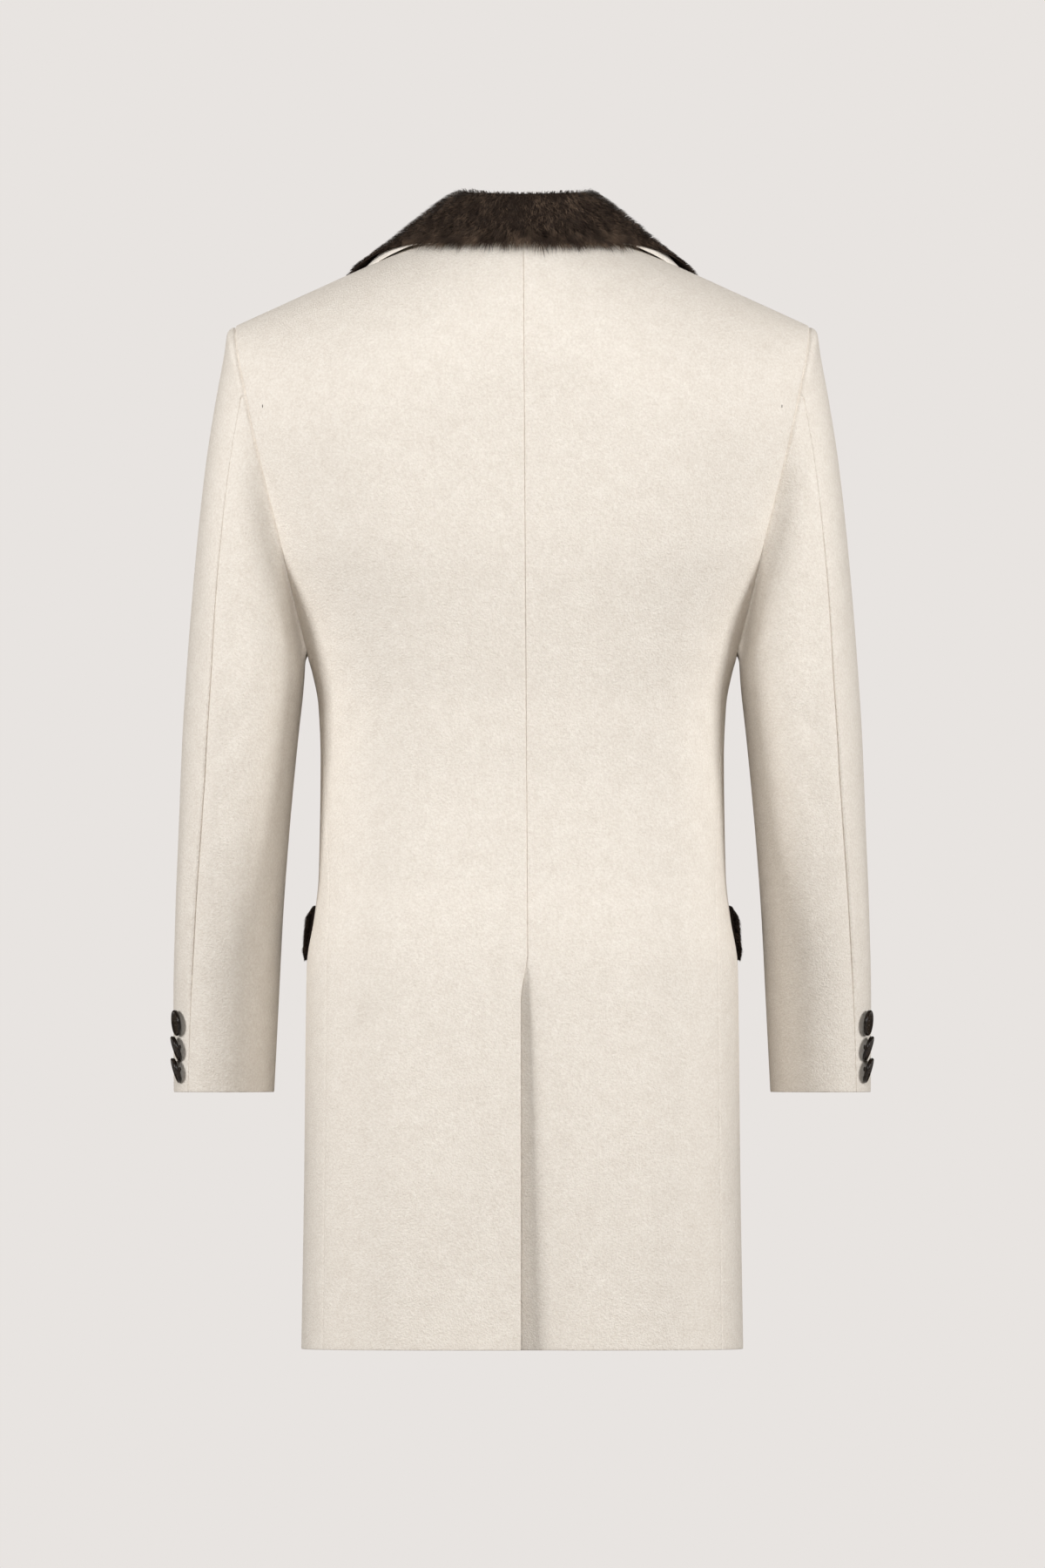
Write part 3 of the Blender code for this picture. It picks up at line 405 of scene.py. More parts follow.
# On a sleeve x is the distance round it from the outer line, back half positive
SLEEVE_CREASES = [
    Crease(0.060, -0.300, 0.070, 0.020, -10.0, 0.0016),
    Crease(0.095, -0.430, 0.040, 0.010, 38.0, -0.0016),
    Crease(0.105, -0.475, 0.036, 0.009, 30.0, -0.0013),
    Crease(-0.090, -0.450, 0.040, 0.010, -36.0, -0.0022),
    Crease(-0.095, -0.490, 0.040, 0.011, -30.0, -0.0020),
    Crease(-0.085, -0.530, 0.036, 0.010, -24.0, -0.0016),
    Crease(0.035, -0.560, 0.060, 0.016, 8.0, 0.0012),
]

# Rows of the body from the hem up to the underarm, then over the chest and the crown of the shoulder
FIRST_ROW = 0.010
SKIRT_ROWS, WAIST_ROWS = 46, 37
LOW_ROWS = np.concatenate([
    HEM_Z + EDGE_STEPS,
    np.linspace(HEM_Z + FIRST_ROW, VENT_TOP_Z, SKIRT_ROWS),
    np.linspace(VENT_TOP_Z, UNDERARM_Z, WAIST_ROWS)[1:],
])
CHEST_ROWS, CHEST_CROWD = 22, 1.6
CROWN_ROWS, CROWN_CROWD = 30, 0.85
NECK_COLUMNS = 22
SHOULDER_COLUMNS = 30
# An even number, because the sleeve's inner line starts from the side's middle column
SIDE_COLUMNS = 22
SIDE_USUAL_WIDTH = 0.11
SLEEVE_ROWS = 92

# Studio
FLOOR_RADIUS, FLOOR_SIDES = 4.5, 96
FLOOR_Z = -1.45
Lamp = namedtuple("Lamp", "name place width watts")
LAMPS = [
    Lamp("left_softbox", (-4.25, -1.8, 0.45), 1.6, 141.0),
    Lamp("right_softbox", (4.25, -1.8, 0.45), 1.6, 141.0),
    Lamp("key_softbox", (0.0, -4.5, 1.20), 1.8, 123.0),
    Lamp("front_softbox", (0.0, 4.5, 1.80), 1.8, 70.0),
]
LAMPS_AIM = Vector((0.0, 0.0, -0.45))
CAMERA_X, CAMERA_Z = 0.0002, -0.4679
CAMERA_SENSOR_MM = 36.0
CAMERA_SEES = 100.0


def linear_colour(code):
    """An sRGB hex code as linear red, green, blue and alpha."""
    parts = [int(code[i : i + 2], 16) / 255.0 for i in (0, 2, 4)]
    return (*[p / 12.92 if p <= 0.04045 else ((p + 0.055) / 1.055) ** 2.4 for p in parts], 1.0)


def spaced(start, end, count, length):
    """Shares from start to end of a stretch of that length, closer at both ends for a seam or fold."""
    close = EDGE_STEPS / length * (end - start)
    middle = np.linspace(start + close[-1], end - close[-1], count + 1)[1:-1]
    return np.concatenate([start + close, middle, end - close[::-1]])


def ridge_z(x):
    """Height of the shoulder ridge, where the back and the fronts meet."""
    return RIDGE_PEAK - SHOULDER_SLOPE * np.hypot(x, RIDGE_ROUND)


def edge_deg(z, face):
    """Angle from the side of the form at which a panel ends: its side seam, or the armhole above it."""
    above = ramp(z, UNDERARM_Z, EDGE_BLEND)
    return mix(BODY.read(face + "_seam_deg", z), ARMHOLE_EDGE_DEG[face], above)


def ring_width(z, face):
    """Half-width of the ring at a height. Above the underarm the ring runs on past the armhole edge."""
    cosine = np.cos(np.radians(edge_deg(z, face)))
    above = ARMHOLE.read(face + "_x", z) / cosine ** (2.0 / BODY.read("square", z))
    return np.where(z <= UNDERARM_Z, BODY.read("half_width", z), above)


def form_y(x, z, face):
    """Depth of the form at a place seen from the back or front."""
    square = BODY.read("square", z)
    share = np.clip(np.abs(x) / ring_width(z, face), 0.0, 1.0)
    depth = BODY.read(face, z) * (1.0 - share**square) ** (1.0 / square)
    above = np.clip(1.0 - (ridge_z(x) - z) / ROUND[face], 0.0, 1.0)
    crown = (1.0 - above ** CROWN[face]) ** (1.0 / CROWN[face])
    return depth * crown * (1.0 if face == "front" else -1.0)


def ring_x(z, deg, face):
    """Distance from the middle of a ring's point at an angle from the side, negative past 90 degrees."""
    cosine = np.cos(np.radians(deg))
    return np.sign(cosine) * np.abs(cosine) ** (2.0 / BODY.read("square", z)) * ring_width(z, face)


def ring_xy(z, deg):
    """Points of the right half ring at angles from the side, negative towards the back."""
    behind = deg <= 0.0
    x = np.where(behind, ring_x(z, np.abs(deg), "back"), ring_x(z, np.abs(deg), "front"))
    return x, np.where(behind, form_y(x, z, "back"), form_y(x, z, "front"))


def deg_at(x, z, face):
    """The angle at which a ring has that distance from the middle."""
    share = np.clip(np.abs(x) / ring_width(z, face), 0.0, 1.0) ** (BODY.read("square", z) / 2.0)
    return np.degrees(np.arccos(np.sign(x) * share))


def front_edge_x(z):
    """Inner edge of the right front: the closing edge, and above the break the roll line."""
    return mix(-LAP, NECK_HALF, np.clip((z - BREAK_Z) / (ridge_z(NECK_HALF) - BREAK_Z), 0.0, None))


def crown_heights(top_x, face, end_deg):
    """Heights of a panel's rows above the underarm, a column for each place along its top."""
    foot = ridge_z(top_x) - ROUND[face]
    chest = mix(UNDERARM_Z, foot, (np.arange(1, CHEST_ROWS + 1)[:, None] / CHEST_ROWS) ** CHEST_CROWD)
    t = np.arange(1, CROWN_ROWS + 1)[:, None] / CROWN_ROWS
    degs = mix(90.0, end_deg, mix(t, 1.0 - (1.0 - t) ** 2, CROWN_CROWD))
    return np.concatenate([chest, ridge_z(top_x) - ROUND[face] * (1.0 - np.cos(np.radians(degs)))])


def panel_heights(top_x, face, end_deg):
    low = np.repeat(LOW_ROWS[:, None], len(top_x), axis=1)
    return np.concatenate([low, crown_heights(top_x, face, end_deg)])


def back_shares():
    """Places across the back from the centre to the armhole, by angle, and where the neck ends among them."""
    neck = (90.0 - deg_at(NECK_HALF, SHOULDER_Z, "back")) / (90.0 - edge_deg(SHOULDER_Z, "back"))
    inner = spaced(0.0, neck, NECK_COLUMNS, NECK_HALF)
    outer = spaced(neck, 1.0, SHOULDER_COLUMNS, SHOULDER_X - NECK_HALF)
    return np.concatenate([inner[:-1], outer]), len(inner) - 1


def top_xs(shares):
    return ring_x(SHOULDER_Z, mix(90.0, edge_deg(SHOULDER_Z, "back"), shares), "back")


def back_grid():
    """Right back panel from the centre back to the side seam and armhole, rows from the hem up."""
    shares, _ = back_shares()
    top_x = top_xs(shares)
    neck_y = NECK_BACK * np.sqrt(np.clip(1.0 - (top_x / NECK_HALF) ** 2, 0.0, 1.0))
    end_deg = np.degrees(np.arcsin(neck_y / BODY.read("back", 0.0)))
    z = panel_heights(top_x, "back", end_deg)
    x = ring_x(z, mix(90.0, edge_deg(z, "back"), shares), "back")
    return np.stack([x, form_y(x, z, "back"), z], axis=2)


def front_grid():
    """Right front panel from the closing edge and roll line to the side seam and armhole."""
    shares, neck = back_shares()
    top_x = top_xs(shares[neck:])
    neck_deg = deg_at(NECK_HALF, SHOULDER_Z, "front")
    across = (neck_deg - deg_at(top_x, SHOULDER_Z, "front")) / (neck_deg - edge_deg(SHOULDER_Z, "front"))
    ends = panel_heights(np.array([NECK_HALF, SHOULDER_X]), "front", 0.0)
    inner = deg_at(front_edge_x(ends[:, 0]), ends[:, 0], "front")[:, None]
    outer = edge_deg(ends[:, 1], "front")[:, None]
    z = panel_heights(top_x, "front", 0.0)
    x = ring_x(z, mix(inner, outer, across), "front")
    return np.stack([x, form_y(x, z, "front"), z], axis=2)


def side_grid():
    """Right side panel under the arm, from the back side seam to the front one."""
    z = LOW_ROWS[:, None]
    shares = spaced(0.0, 1.0, SIDE_COLUMNS, SIDE_USUAL_WIDTH)
    deg = mix(-edge_deg(z, "back"), edge_deg(z, "front"), shares)
    z = np.broadcast_to(z, deg.shape)
    return np.stack([*ring_xy(z, deg), z], axis=2)


def armhole_ring(back, side, front):
    """Edge of the right armhole from the shoulder point down the back, under the arm and up the front."""
    low = len(LOW_ROWS)
    ring = np.concatenate([back[low - 1 :, -1][::-1], side[-1, 1:-1], front[low - 1 :, -1]])
    bottom = len(back) - low + 1 + int(np.argmin(np.abs(side[-1, 1:-1, 1])))
    walked = np.concatenate([[0.0], np.cumsum(np.linalg.norm(np.diff(ring, axis=0), axis=1))])
    behind = 180.0 * walked[: bottom + 1] / walked[bottom]
    behind += SLEEVE_SEAM_SHIFT * np.sin(np.radians(2.0 * behind))
    before = 360.0 - 180.0 * (walked[-1] - walked[bottom + 1 :]) / (walked[-1] - walked[bottom])
    return ring, np.concatenate([behind, before])


def armhole_sink(grid):
    """Weight of the seam along a panel's outer edge, from the side seam up round the armhole."""
    return mix(SIDE_SEAM, ARMHOLE_SEAM, ramp(grid[:, -1:, 2], UNDERARM_Z, ARMHOLE_SEAM_RISE))


def sleeve_rings():
    """Places along the sleeve, closer at the armhole and the cuff."""
    top = ARMHOLE_RING + EDGE_STEPS / ARMHOLE_RING_GAP
    end = CUFF_RING - EDGE_STEPS[::-1] / CUFF_RING_GAP
    return np.concatenate([top, np.linspace(*SLEEVE_INNER_RINGS, SLEEVE_ROWS), end])


def sleeve_line(side, place):
    """Points of the sleeve's outer or inner line at places along it."""
    x, z = SLEEVE.read(side + "_x", place), SLEEVE.read(side + "_z", place)
    return np.stack([x, 0.0 * place, z], axis=-1)


def sleeve_axis(grid):
    """Middle points of the sleeve's rings, one for each row of a grid."""
    places = sleeve_rings()[::-1]
    middle = (sleeve_line("outer", places) + sleeve_line("inner", places)) / 2.0
    middle[:, 1] = SLEEVE.read("middle_y", places)
    return np.broadcast_to(middle[:, None, :], grid.shape)


def sleeve_grid(armhole, sunk_ring, angles, sizes):
    """A piece of the right sleeve between two of its seams, a row of angles for each place along it."""
    ring, ring_angles = armhole
    bottom = sleeve_line("inner", ARMHOLE_RING)
    axis = sleeve_line("outer", ARMHOLE_RING) - bottom
    power = 2.0 / SLEEVE_SQUARE
    rows = []
    for place, turned in zip(sleeve_rings(), np.mod(angles, 360.0)):
        edge = np.stack([np.interp(turned, ring_angles, ring[:, k]) for k in range(3)], axis=1)
        along = ((edge - bottom) @ axis) / (axis @ axis)
        off_axis = edge - bottom - np.outer(along, axis)
        cosine, sine = np.cos(np.radians(turned)), np.sin(np.radians(turned))
        reach = np.sign(cosine) * np.abs(cosine) ** power
        # Below the armhole the back of the under sleeve falls away flatter than the rest of the ring
        hung = ramp(place, *SLEEVE_HANGS)
        flatter = SLEEVE_FLAT * hung * ((sine > 0.0) & (cosine < 0.0))
        size = {name: SLEEVE.read(name, place) for name in SLEEVE.values}
        outer, inner = sleeve_line("outer", place), sleeve_line("inner", place)
        depth = np.where(sine > 0.0, -size["back"], size["front"]) * np.abs(sine) ** (power + flatter)
        depth *= 1.0 + SLEEVE_SKEW * hung * reach
        full = (outer + inner) / 2.0 + np.outer(reach, (outer - inner) / 2.0)
        full[:, 1] = size["middle_y"] + depth
        share = ramp(place, ARMHOLE_RING, SLEEVE_BLEND_RINGS)
        in_plane = mix(1.0, 0.5 * (1.0 - share), np.clip(place - ARMHOLE_RING, 0.0, 1.0))
        carried = inner + np.outer(along, outer - inner) + off_axis * np.array([in_plane, 1.0, in_plane])
        rows.append(mix(carried, full, share))
    grid = np.array(rows)
    # At the armhole the sleeve sinks with the body's edge, so that their seam is closed
    turned = np.mod(angles, 360.0)
    sunk = np.stack([np.interp(turned, ring_angles, (sunk_ring - ring)[:, k]) for k in range(3)], axis=2)
    return grid + sunk * np.exp(-((edge_distances(grid)["low"] / sizes.seam_width) ** 2))[..., None]


def seam_x(z):
    """The centre back seam, and below the vent's top the swung edge of its left side."""
    above = mix(SEAM_VENT_X, SEAM_TOP_X, (z - VENT_TOP_Z) / -VENT_TOP_Z)
    below = mix(SEAM_VENT_X, VENT_EDGE_X, smooth_step((VENT_TOP_Z - z) / VENT_SWING))
    return np.where(z >= VENT_TOP_Z, above, below)


def drift_seam(grid):
    """Moves the cloth beside the centre back sideways with its seam."""
    moved = grid.copy()
    x, z = grid[..., 0], grid[..., 2]
    moved[..., 0] += seam_x(z) * np.clip(1.0 - np.abs(x) / SEAM_FADE, 0.0, None)
    return moved


def open_vent(grid):
    """Right back beside the vent: it rolls in next to the left edge and runs on behind it."""
    opened = grid.copy()
    shares, neck = back_shares()
    inner = slice(0, neck + 1)
    for row in opened:
        z = row[0, 2]
        below = VENT_TOP_Z - z
        if below <= 0.0:
            continue
        spread = ramp(below, *VENT_SPREAD)
        down = below / (VENT_TOP_Z - HEM_Z)
        sink = VENT_DEPTH * ramp(below, 0.0, VENT_SINK_RISE) * mix(*VENT_SINK_SHARES, down)
        left_x = seam_x(z)
        turn_x = left_x + mix(*VENT_TURN, down**VENT_TURN_POWER)
        lapped = SizeTable("share x", list(zip(VENT_SHARES, [*VENT_LAPPED, row[neck, 0]])))
        row[inner, 0] = mix(row[inner, 0], lapped.read("x", shares[inner]), spread)
        share = np.clip((turn_x - row[inner, 0]) / (turn_x - left_x), 0.0, 1.0)
        row[inner, 1] += sink * share**VENT_ROLL_POWER
    return opened


def lap_lift(x, z):
    """How far the left front stands out over the right one, where the two lap."""
    return LAP_LIFT * ramp(x, -LAP - LAP_FADE, LAP_FADE) * smooth_step((LAP_TOP_Z - z) / LAP_RISE)


def mirrored(grid):
    return grid * HANDS["left"]


def middle_line(grid):
    """The upright line through the middle of the coat, a point of it beside each of a grid's."""
    return grid * np.array([0.0, 0.0, 1.0])


def grid_normals(grid, toward):
    """Unit normals of a grid, pointing away from the points in toward."""
    normals = np.cross(np.gradient(grid, axis=1), np.gradient(grid, axis=0))
    normals /= np.linalg.norm(normals, axis=2, keepdims=True) + 1e-12
    outward = np.sum(normals * (grid - toward)) > 0.0
    return normals if outward else -normals


def creased(grid, normals, creases, round_x=None):
    """Raises the soft ridges of hanging cloth and sinks its troughs."""
    x = grid[..., 0] if round_x is None else round_x
    z = grid[..., 2]
    height = np.zeros(x.shape)
    for crease in creases:
        lean = math.radians(crease.lean_deg)
        dx, dz = x - crease.x, z - crease.z
        across = dx * math.cos(lean) - dz * math.sin(lean)
        along = dx * math.sin(lean) + dz * math.cos(lean)
        height += crease.height * np.exp(-((across / crease.width) ** 2) - (along / crease.reach) ** 2)
    return grid + normals * height[..., None]


def edge_distances(grid):
    """Distance of each point along the cloth from the four edges of its grid."""
    across = np.linalg.norm(np.diff(grid, axis=1), axis=2)
    up = np.linalg.norm(np.diff(grid, axis=0), axis=2)
    left = np.concatenate([np.zeros((len(grid), 1)), np.cumsum(across, axis=1)], axis=1)
    low = np.concatenate([np.zeros((1, grid.shape[1])), np.cumsum(up, axis=0)])
    return {"first": left, "last": left[:, -1:] - left, "low": low, "high": low[-1:] - low}


def shaped_skins(grid, normals, seams, folds, wall, sizes):
    """Outer and inner skin of a panel: sunk into its seams, and rounded off along its folded edges."""
    distances = edge_distances(grid)
    sunk = np.zeros(grid.shape[:2])
    for side, where in seams.items():
        near = np.exp(-((distances[side] / sizes.seam_width) ** 2))
        sunk = np.maximum(sunk, where * sizes.seam_depth * near)
    thin = np.zeros(grid.shape[:2])
    for side, where in folds.items():
        off = 1.0 - np.clip(distances[side] / wall, 0.0, 1.0)
        thin = np.maximum(thin, where * FOLD_ROUND * wall * (1.0 - np.sqrt(1.0 - off**2)))
    outer = grid - normals * (sunk + thin)[..., None]
    return outer, grid - normals * (wall + sunk * INNER_SINK - thin)[..., None]


def cell_areas(grid):
    """Area of each cell of a grid."""
    one, two = grid[1:, 1:] - grid[:-1, :-1], grid[1:, :-1] - grid[:-1, 1:]
    return np.linalg.norm(np.cross(one, two), axis=2) / 2.0


def link(name, data):
    made = bpy.data.objects.new(name, data)
    bpy.context.scene.collection.objects.link(made)
    return made


def mesh_of(name, shape):
    """A mesh with the faces of a bmesh, which is freed."""
    mesh = bpy.data.meshes.new(name)
    shape.to_mesh(mesh)
    shape.free()
    return mesh


def add_object(name, mesh, material):
    mesh.materials.append(material)
    mesh.shade_smooth()
    return link(name, mesh)


def wall_shape(outer, inner):
    """A closed sheet between an outer and an inner skin of the same steps, its faces pointing out."""
    rows, columns = outer.shape[:2]
    shape = bmesh.new()
    bmesh.ops.create_grid(shape, x_segments=columns - 1, y_segments=rows - 1, size=1.0)
    extruded = bmesh.ops.extrude_face_region(shape, geom=shape.faces[:], use_keep_orig=True)
    moved = {item for item in extruded["geom"] if isinstance(item, bmesh.types.BMVert)}
    for vert in shape.verts:
        column = round((vert.co.x + 1.0) / 2.0 * (columns - 1))
        row = round((vert.co.y + 1.0) / 2.0 * (rows - 1))
        vert.co = (inner if vert in moved else outer)[row, column]
    bmesh.ops.recalc_face_normals(shape, faces=shape.faces[:])
    return shape


def add_sheet(name, node, outer, inner, material):
    """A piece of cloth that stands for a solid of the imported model."""
    made = add_object(name, mesh_of(name, wall_shape(outer, inner)), material)
    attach(made, "root")
    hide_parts(node)
    return made


def add_felt(name, grid, toward, seams, folds, creases, settings, round_x=None, lips=None):
    """A felt panel with its seams, edges and soft folds. A lip is an edge that stands out or in at a seam."""
    normals = grid_normals(grid, toward)
    grid = creased(grid, normals, creases, round_x)
    for side, rise in (lips or {}).items():
        near = np.exp(-((edge_distances(grid)[side] / LIP_WIDTH) ** 2))
        grid = grid + normals * (rise * near)[..., None]
    outer, inner = shaped_skins(grid, normals, seams, folds, settings.wall, settings)
    felt = felt_material(settings)
    return add_sheet("felt_" + name, name, outer, inner, felt)


def evaluated_shape(made):
    """The faces of an object as its modifiers or its bevel leave them."""
    bpy.context.view_layer.update()
    mesh = bpy.data.meshes.new_from_object(made.evaluated_get(bpy.context.evaluated_depsgraph_get()))
    shape = bmesh.new()
    shape.from_mesh(mesh)
    bpy.data.meshes.remove(mesh)
    return shape


def tube_shape(points, radius, resolution=1):
    """A round tube along a line of points, with closed ends."""
    line = bpy.data.curves.new("line", "CURVE")
    line.dimensions = "3D"
    line.bevel_depth = radius
    line.bevel_resolution = resolution
    line.use_fill_caps = True
    spline = line.splines.new("POLY")
    spline.points.add(len(points) - 1)
    for point, place in zip(spline.points, points):
        point.co = (*place, 1.0)
    holder = link("line", line)
    shape = evaluated_shape(holder)
    bpy.data.objects.remove(holder)
    bpy.data.curves.remove(line)
    bmesh.ops.remove_doubles(shape, verts=shape.verts[:], dist=1e-6)
    bmesh.ops.recalc_face_normals(shape, faces=shape.faces[:])
    return shape


def join_shape(target, source):
    """Adds the faces of one bmesh to another and frees the first."""
    mesh = mesh_of("part", source)
    target.from_mesh(mesh)
    bpy.data.meshes.remove(mesh)


def add_node(tree, kind, inputs=None, **facts):
    """Adds a shader node with its settings. An input is a value, or another node's socket to link."""
    node = tree.nodes.new(kind)
    for name, value in facts.items():
        setattr(node, name, value)
    for socket, value in (inputs or {}).items():
        if isinstance(value, bpy.types.NodeSocket):
            tree.links.new(value, node.inputs[socket])
        else:
            node.inputs[socket].default_value = value
    return node


def per_metre(millimetres):
    """Texture scale at which a pattern's features are about that large."""
    return 1000.0 / millimetres


def drawn_once(name):
    """Turns a function that draws a material's nodes into one that gives the material, drawn only once."""

    def wrap(draw):
        @wraps(draw)
        def give(settings):
            material = bpy.data.materials.get(name)
            if material is None:
                material = bpy.data.materials.new(name)
                material.use_nodes = True
                material.node_tree.nodes.clear()
                draw(material.node_tree, settings)
            return material

        return give

    return wrap


def object_place(tree):
    return add_node(tree, "ShaderNodeTexCoord").outputs["Object"]


def noise(tree, place, millimetres, detail, roughness=0.5, distortion=0.0):
    """Soft clouds about as large as that, as a value round one half."""
    inputs = {"Vector": place, "Scale": per_metre(millimetres), "Detail": detail}
    inputs.update({"Roughness": roughness, "Distortion": distortion})
    return add_node(tree, "ShaderNodeTexNoise", inputs).outputs["Fac"]


def map_range(tree, value, low=0.0, high=1.0, to_low=0.0, to_high=1.0):
    """A value carried from one range to another, and held within it."""
    ranges = {"From Min": low, "From Max": high, "To Min": to_low, "To Max": to_high}
    return add_node(tree, "ShaderNodeMapRange", {"Value": value, **ranges}).outputs[0]


def blend(tree, share, first, second):
    """A colour between two others, by a value."""
    colours = {0: share, 6: first, 7: second}
    return add_node(tree, "ShaderNodeMix", colours, data_type="RGBA").outputs[2]


def bump(tree, height, strength, distance):
    inputs = {"Height": height, "Strength": strength, "Distance": distance}
    return add_node(tree, "ShaderNodeBump", inputs).outputs["Normal"]


def add_surface(tree, inputs):
    """Ends a material in a shader with those inputs."""
    shader = add_node(tree, "ShaderNodeBsdfPrincipled", inputs)
    add_node(tree, "ShaderNodeOutputMaterial", {"Surface": shader.outputs[0]})


@drawn_once("cream_wool_felt")
def felt_material(tree, settings):
    """Milled wool felt: fibres matted into a soft, faintly mottled nap that scatters light, with no shine."""
    place = object_place(tree)
    # The fibre tufts are under half a millimetre and are drawn at two, so that they show
    nap = noise(tree, place, 2.2, 5.0, 0.7)
    cloud = noise(tree, place, 14.0, 3.0, 0.6)
    fleck = noise(tree, place, 1.4, 2.0)
    mottle = add_node(tree, "ShaderNodeMix", {"Factor": 0.22, "A": nap, "B": cloud})
    share = map_range(tree, mottle.outputs[0], 0.34, 0.66)
    tone = blend(tree, share, settings.felt_shade, settings.felt_light)
    height = add_node(tree, "ShaderNodeMath", {0: nap, 1: fleck}, operation="ADD")
    add_surface(tree, {
        "Base Color": tone,
        "Normal": bump(tree, height.outputs[0], 0.6, 0.0012),
        "Roughness": 0.95,
        "Specular IOR Level": 0.12,
        "Sheen Weight": 0.18,
        "Sheen Roughness": 0.6,
        "Sheen Tint": settings.felt_light,
    })


@drawn_once("brown_sheared_fur")
def fur_material(tree, settings):
    """Sheared plush fur: dark roots, lighter tips, each hair a little different, with a low soft sheen."""
    along = add_node(tree, "ShaderNodeAttribute", attribute_name="along").outputs["Fac"]
    tint = add_node(tree, "ShaderNodeAttribute", attribute_name="tint").outputs["Fac"]
    brushed = map_range(tree, noise(tree, object_place(tree), 14.0, 4.0), 0.36, 0.66, 0.05, 1.55)
    shown = add_node(tree, "ShaderNodeMath", {0: tint, 1: brushed}, operation="MULTIPLY", use_clamp=True)
    tips = blend(tree, shown.outputs[0], settings.fur_dark, settings.fur_tip)
    add_surface(tree, {
        "Base Color": blend(tree, along, settings.fur_root, tips),
        "Roughness": 0.62,
        "Specular IOR Level": 0.28,
        "Sheen Weight": 0.10,
        "Sheen Roughness": 0.5,
        "Sheen Tint": settings.fur_tip,
    })


@drawn_once("brown_underfur")
def underfur_material(tree, settings):
    """Dense underfur on its hide, seen only between the hairs: dark, matt and finely clumped."""
    clump = noise(tree, object_place(tree), 2.5, 4.0, 0.7)
    add_surface(tree, {
        "Base Color": blend(tree, clump, settings.fur_root, settings.fur_dark),
        "Normal": bump(tree, clump, 0.8, 0.0012),
        "Roughness": 0.9,
        "Specular IOR Level": 0.15,
    })


@drawn_once("polished_dark_horn")
def horn_material(tree, settings):
    """Polished dark horn: near black with faint brown streaks and a clear, slightly uneven gloss."""
    drawn = add_node(tree, "ShaderNodeMapping", {"Vector": object_place(tree), "Scale": (1.0, 1.0, 0.25)})
    streak = noise(tree, drawn.outputs[0], 2.2, 4.0, distortion=1.2)
    veins = map_range(tree, streak, 0.45, 0.75)
    add_surface(tree, {
        "Base Color": blend(tree, veins, settings.horn_dark, settings.horn_streak),
        "Roughness": map_range(tree, streak, to_low=0.16, to_high=0.34),
        "IOR": 1.54,
        "Specular IOR Level": 0.22,
    })


@drawn_once("waxed_sewing_thread")
def thread_material(tree, settings):
    """Twisted sewing thread: matt, with fine slanting plies."""
    # A wave texture's bands are 2 pi times closer than its scale says
    plies = {"Vector": object_place(tree), "Scale": per_metre(0.6) / 6.28, "Distortion": 1.0}
    ply = add_node(tree, "ShaderNodeTexWave", plies).outputs["Fac"]
    add_surface(tree, {
        "Base Color": blend(tree, ply, settings.thread_shade, settings.thread_light),
        "Normal": bump(tree, ply, 0.5, 0.0002),
        "Roughness": 0.75,
    })


@drawn_once("matt_studio_paper")
def paper_material(tree, settings):
    """Matt studio paper: pale, with a hardly visible grain."""
    grain = noise(tree, object_place(tree), 40.0, 3.0)
    normal = bump(tree, grain, 0.05, 0.001)
    add_surface(tree, {"Base Color": settings.backdrop, "Normal": normal, "Roughness": 0.9})


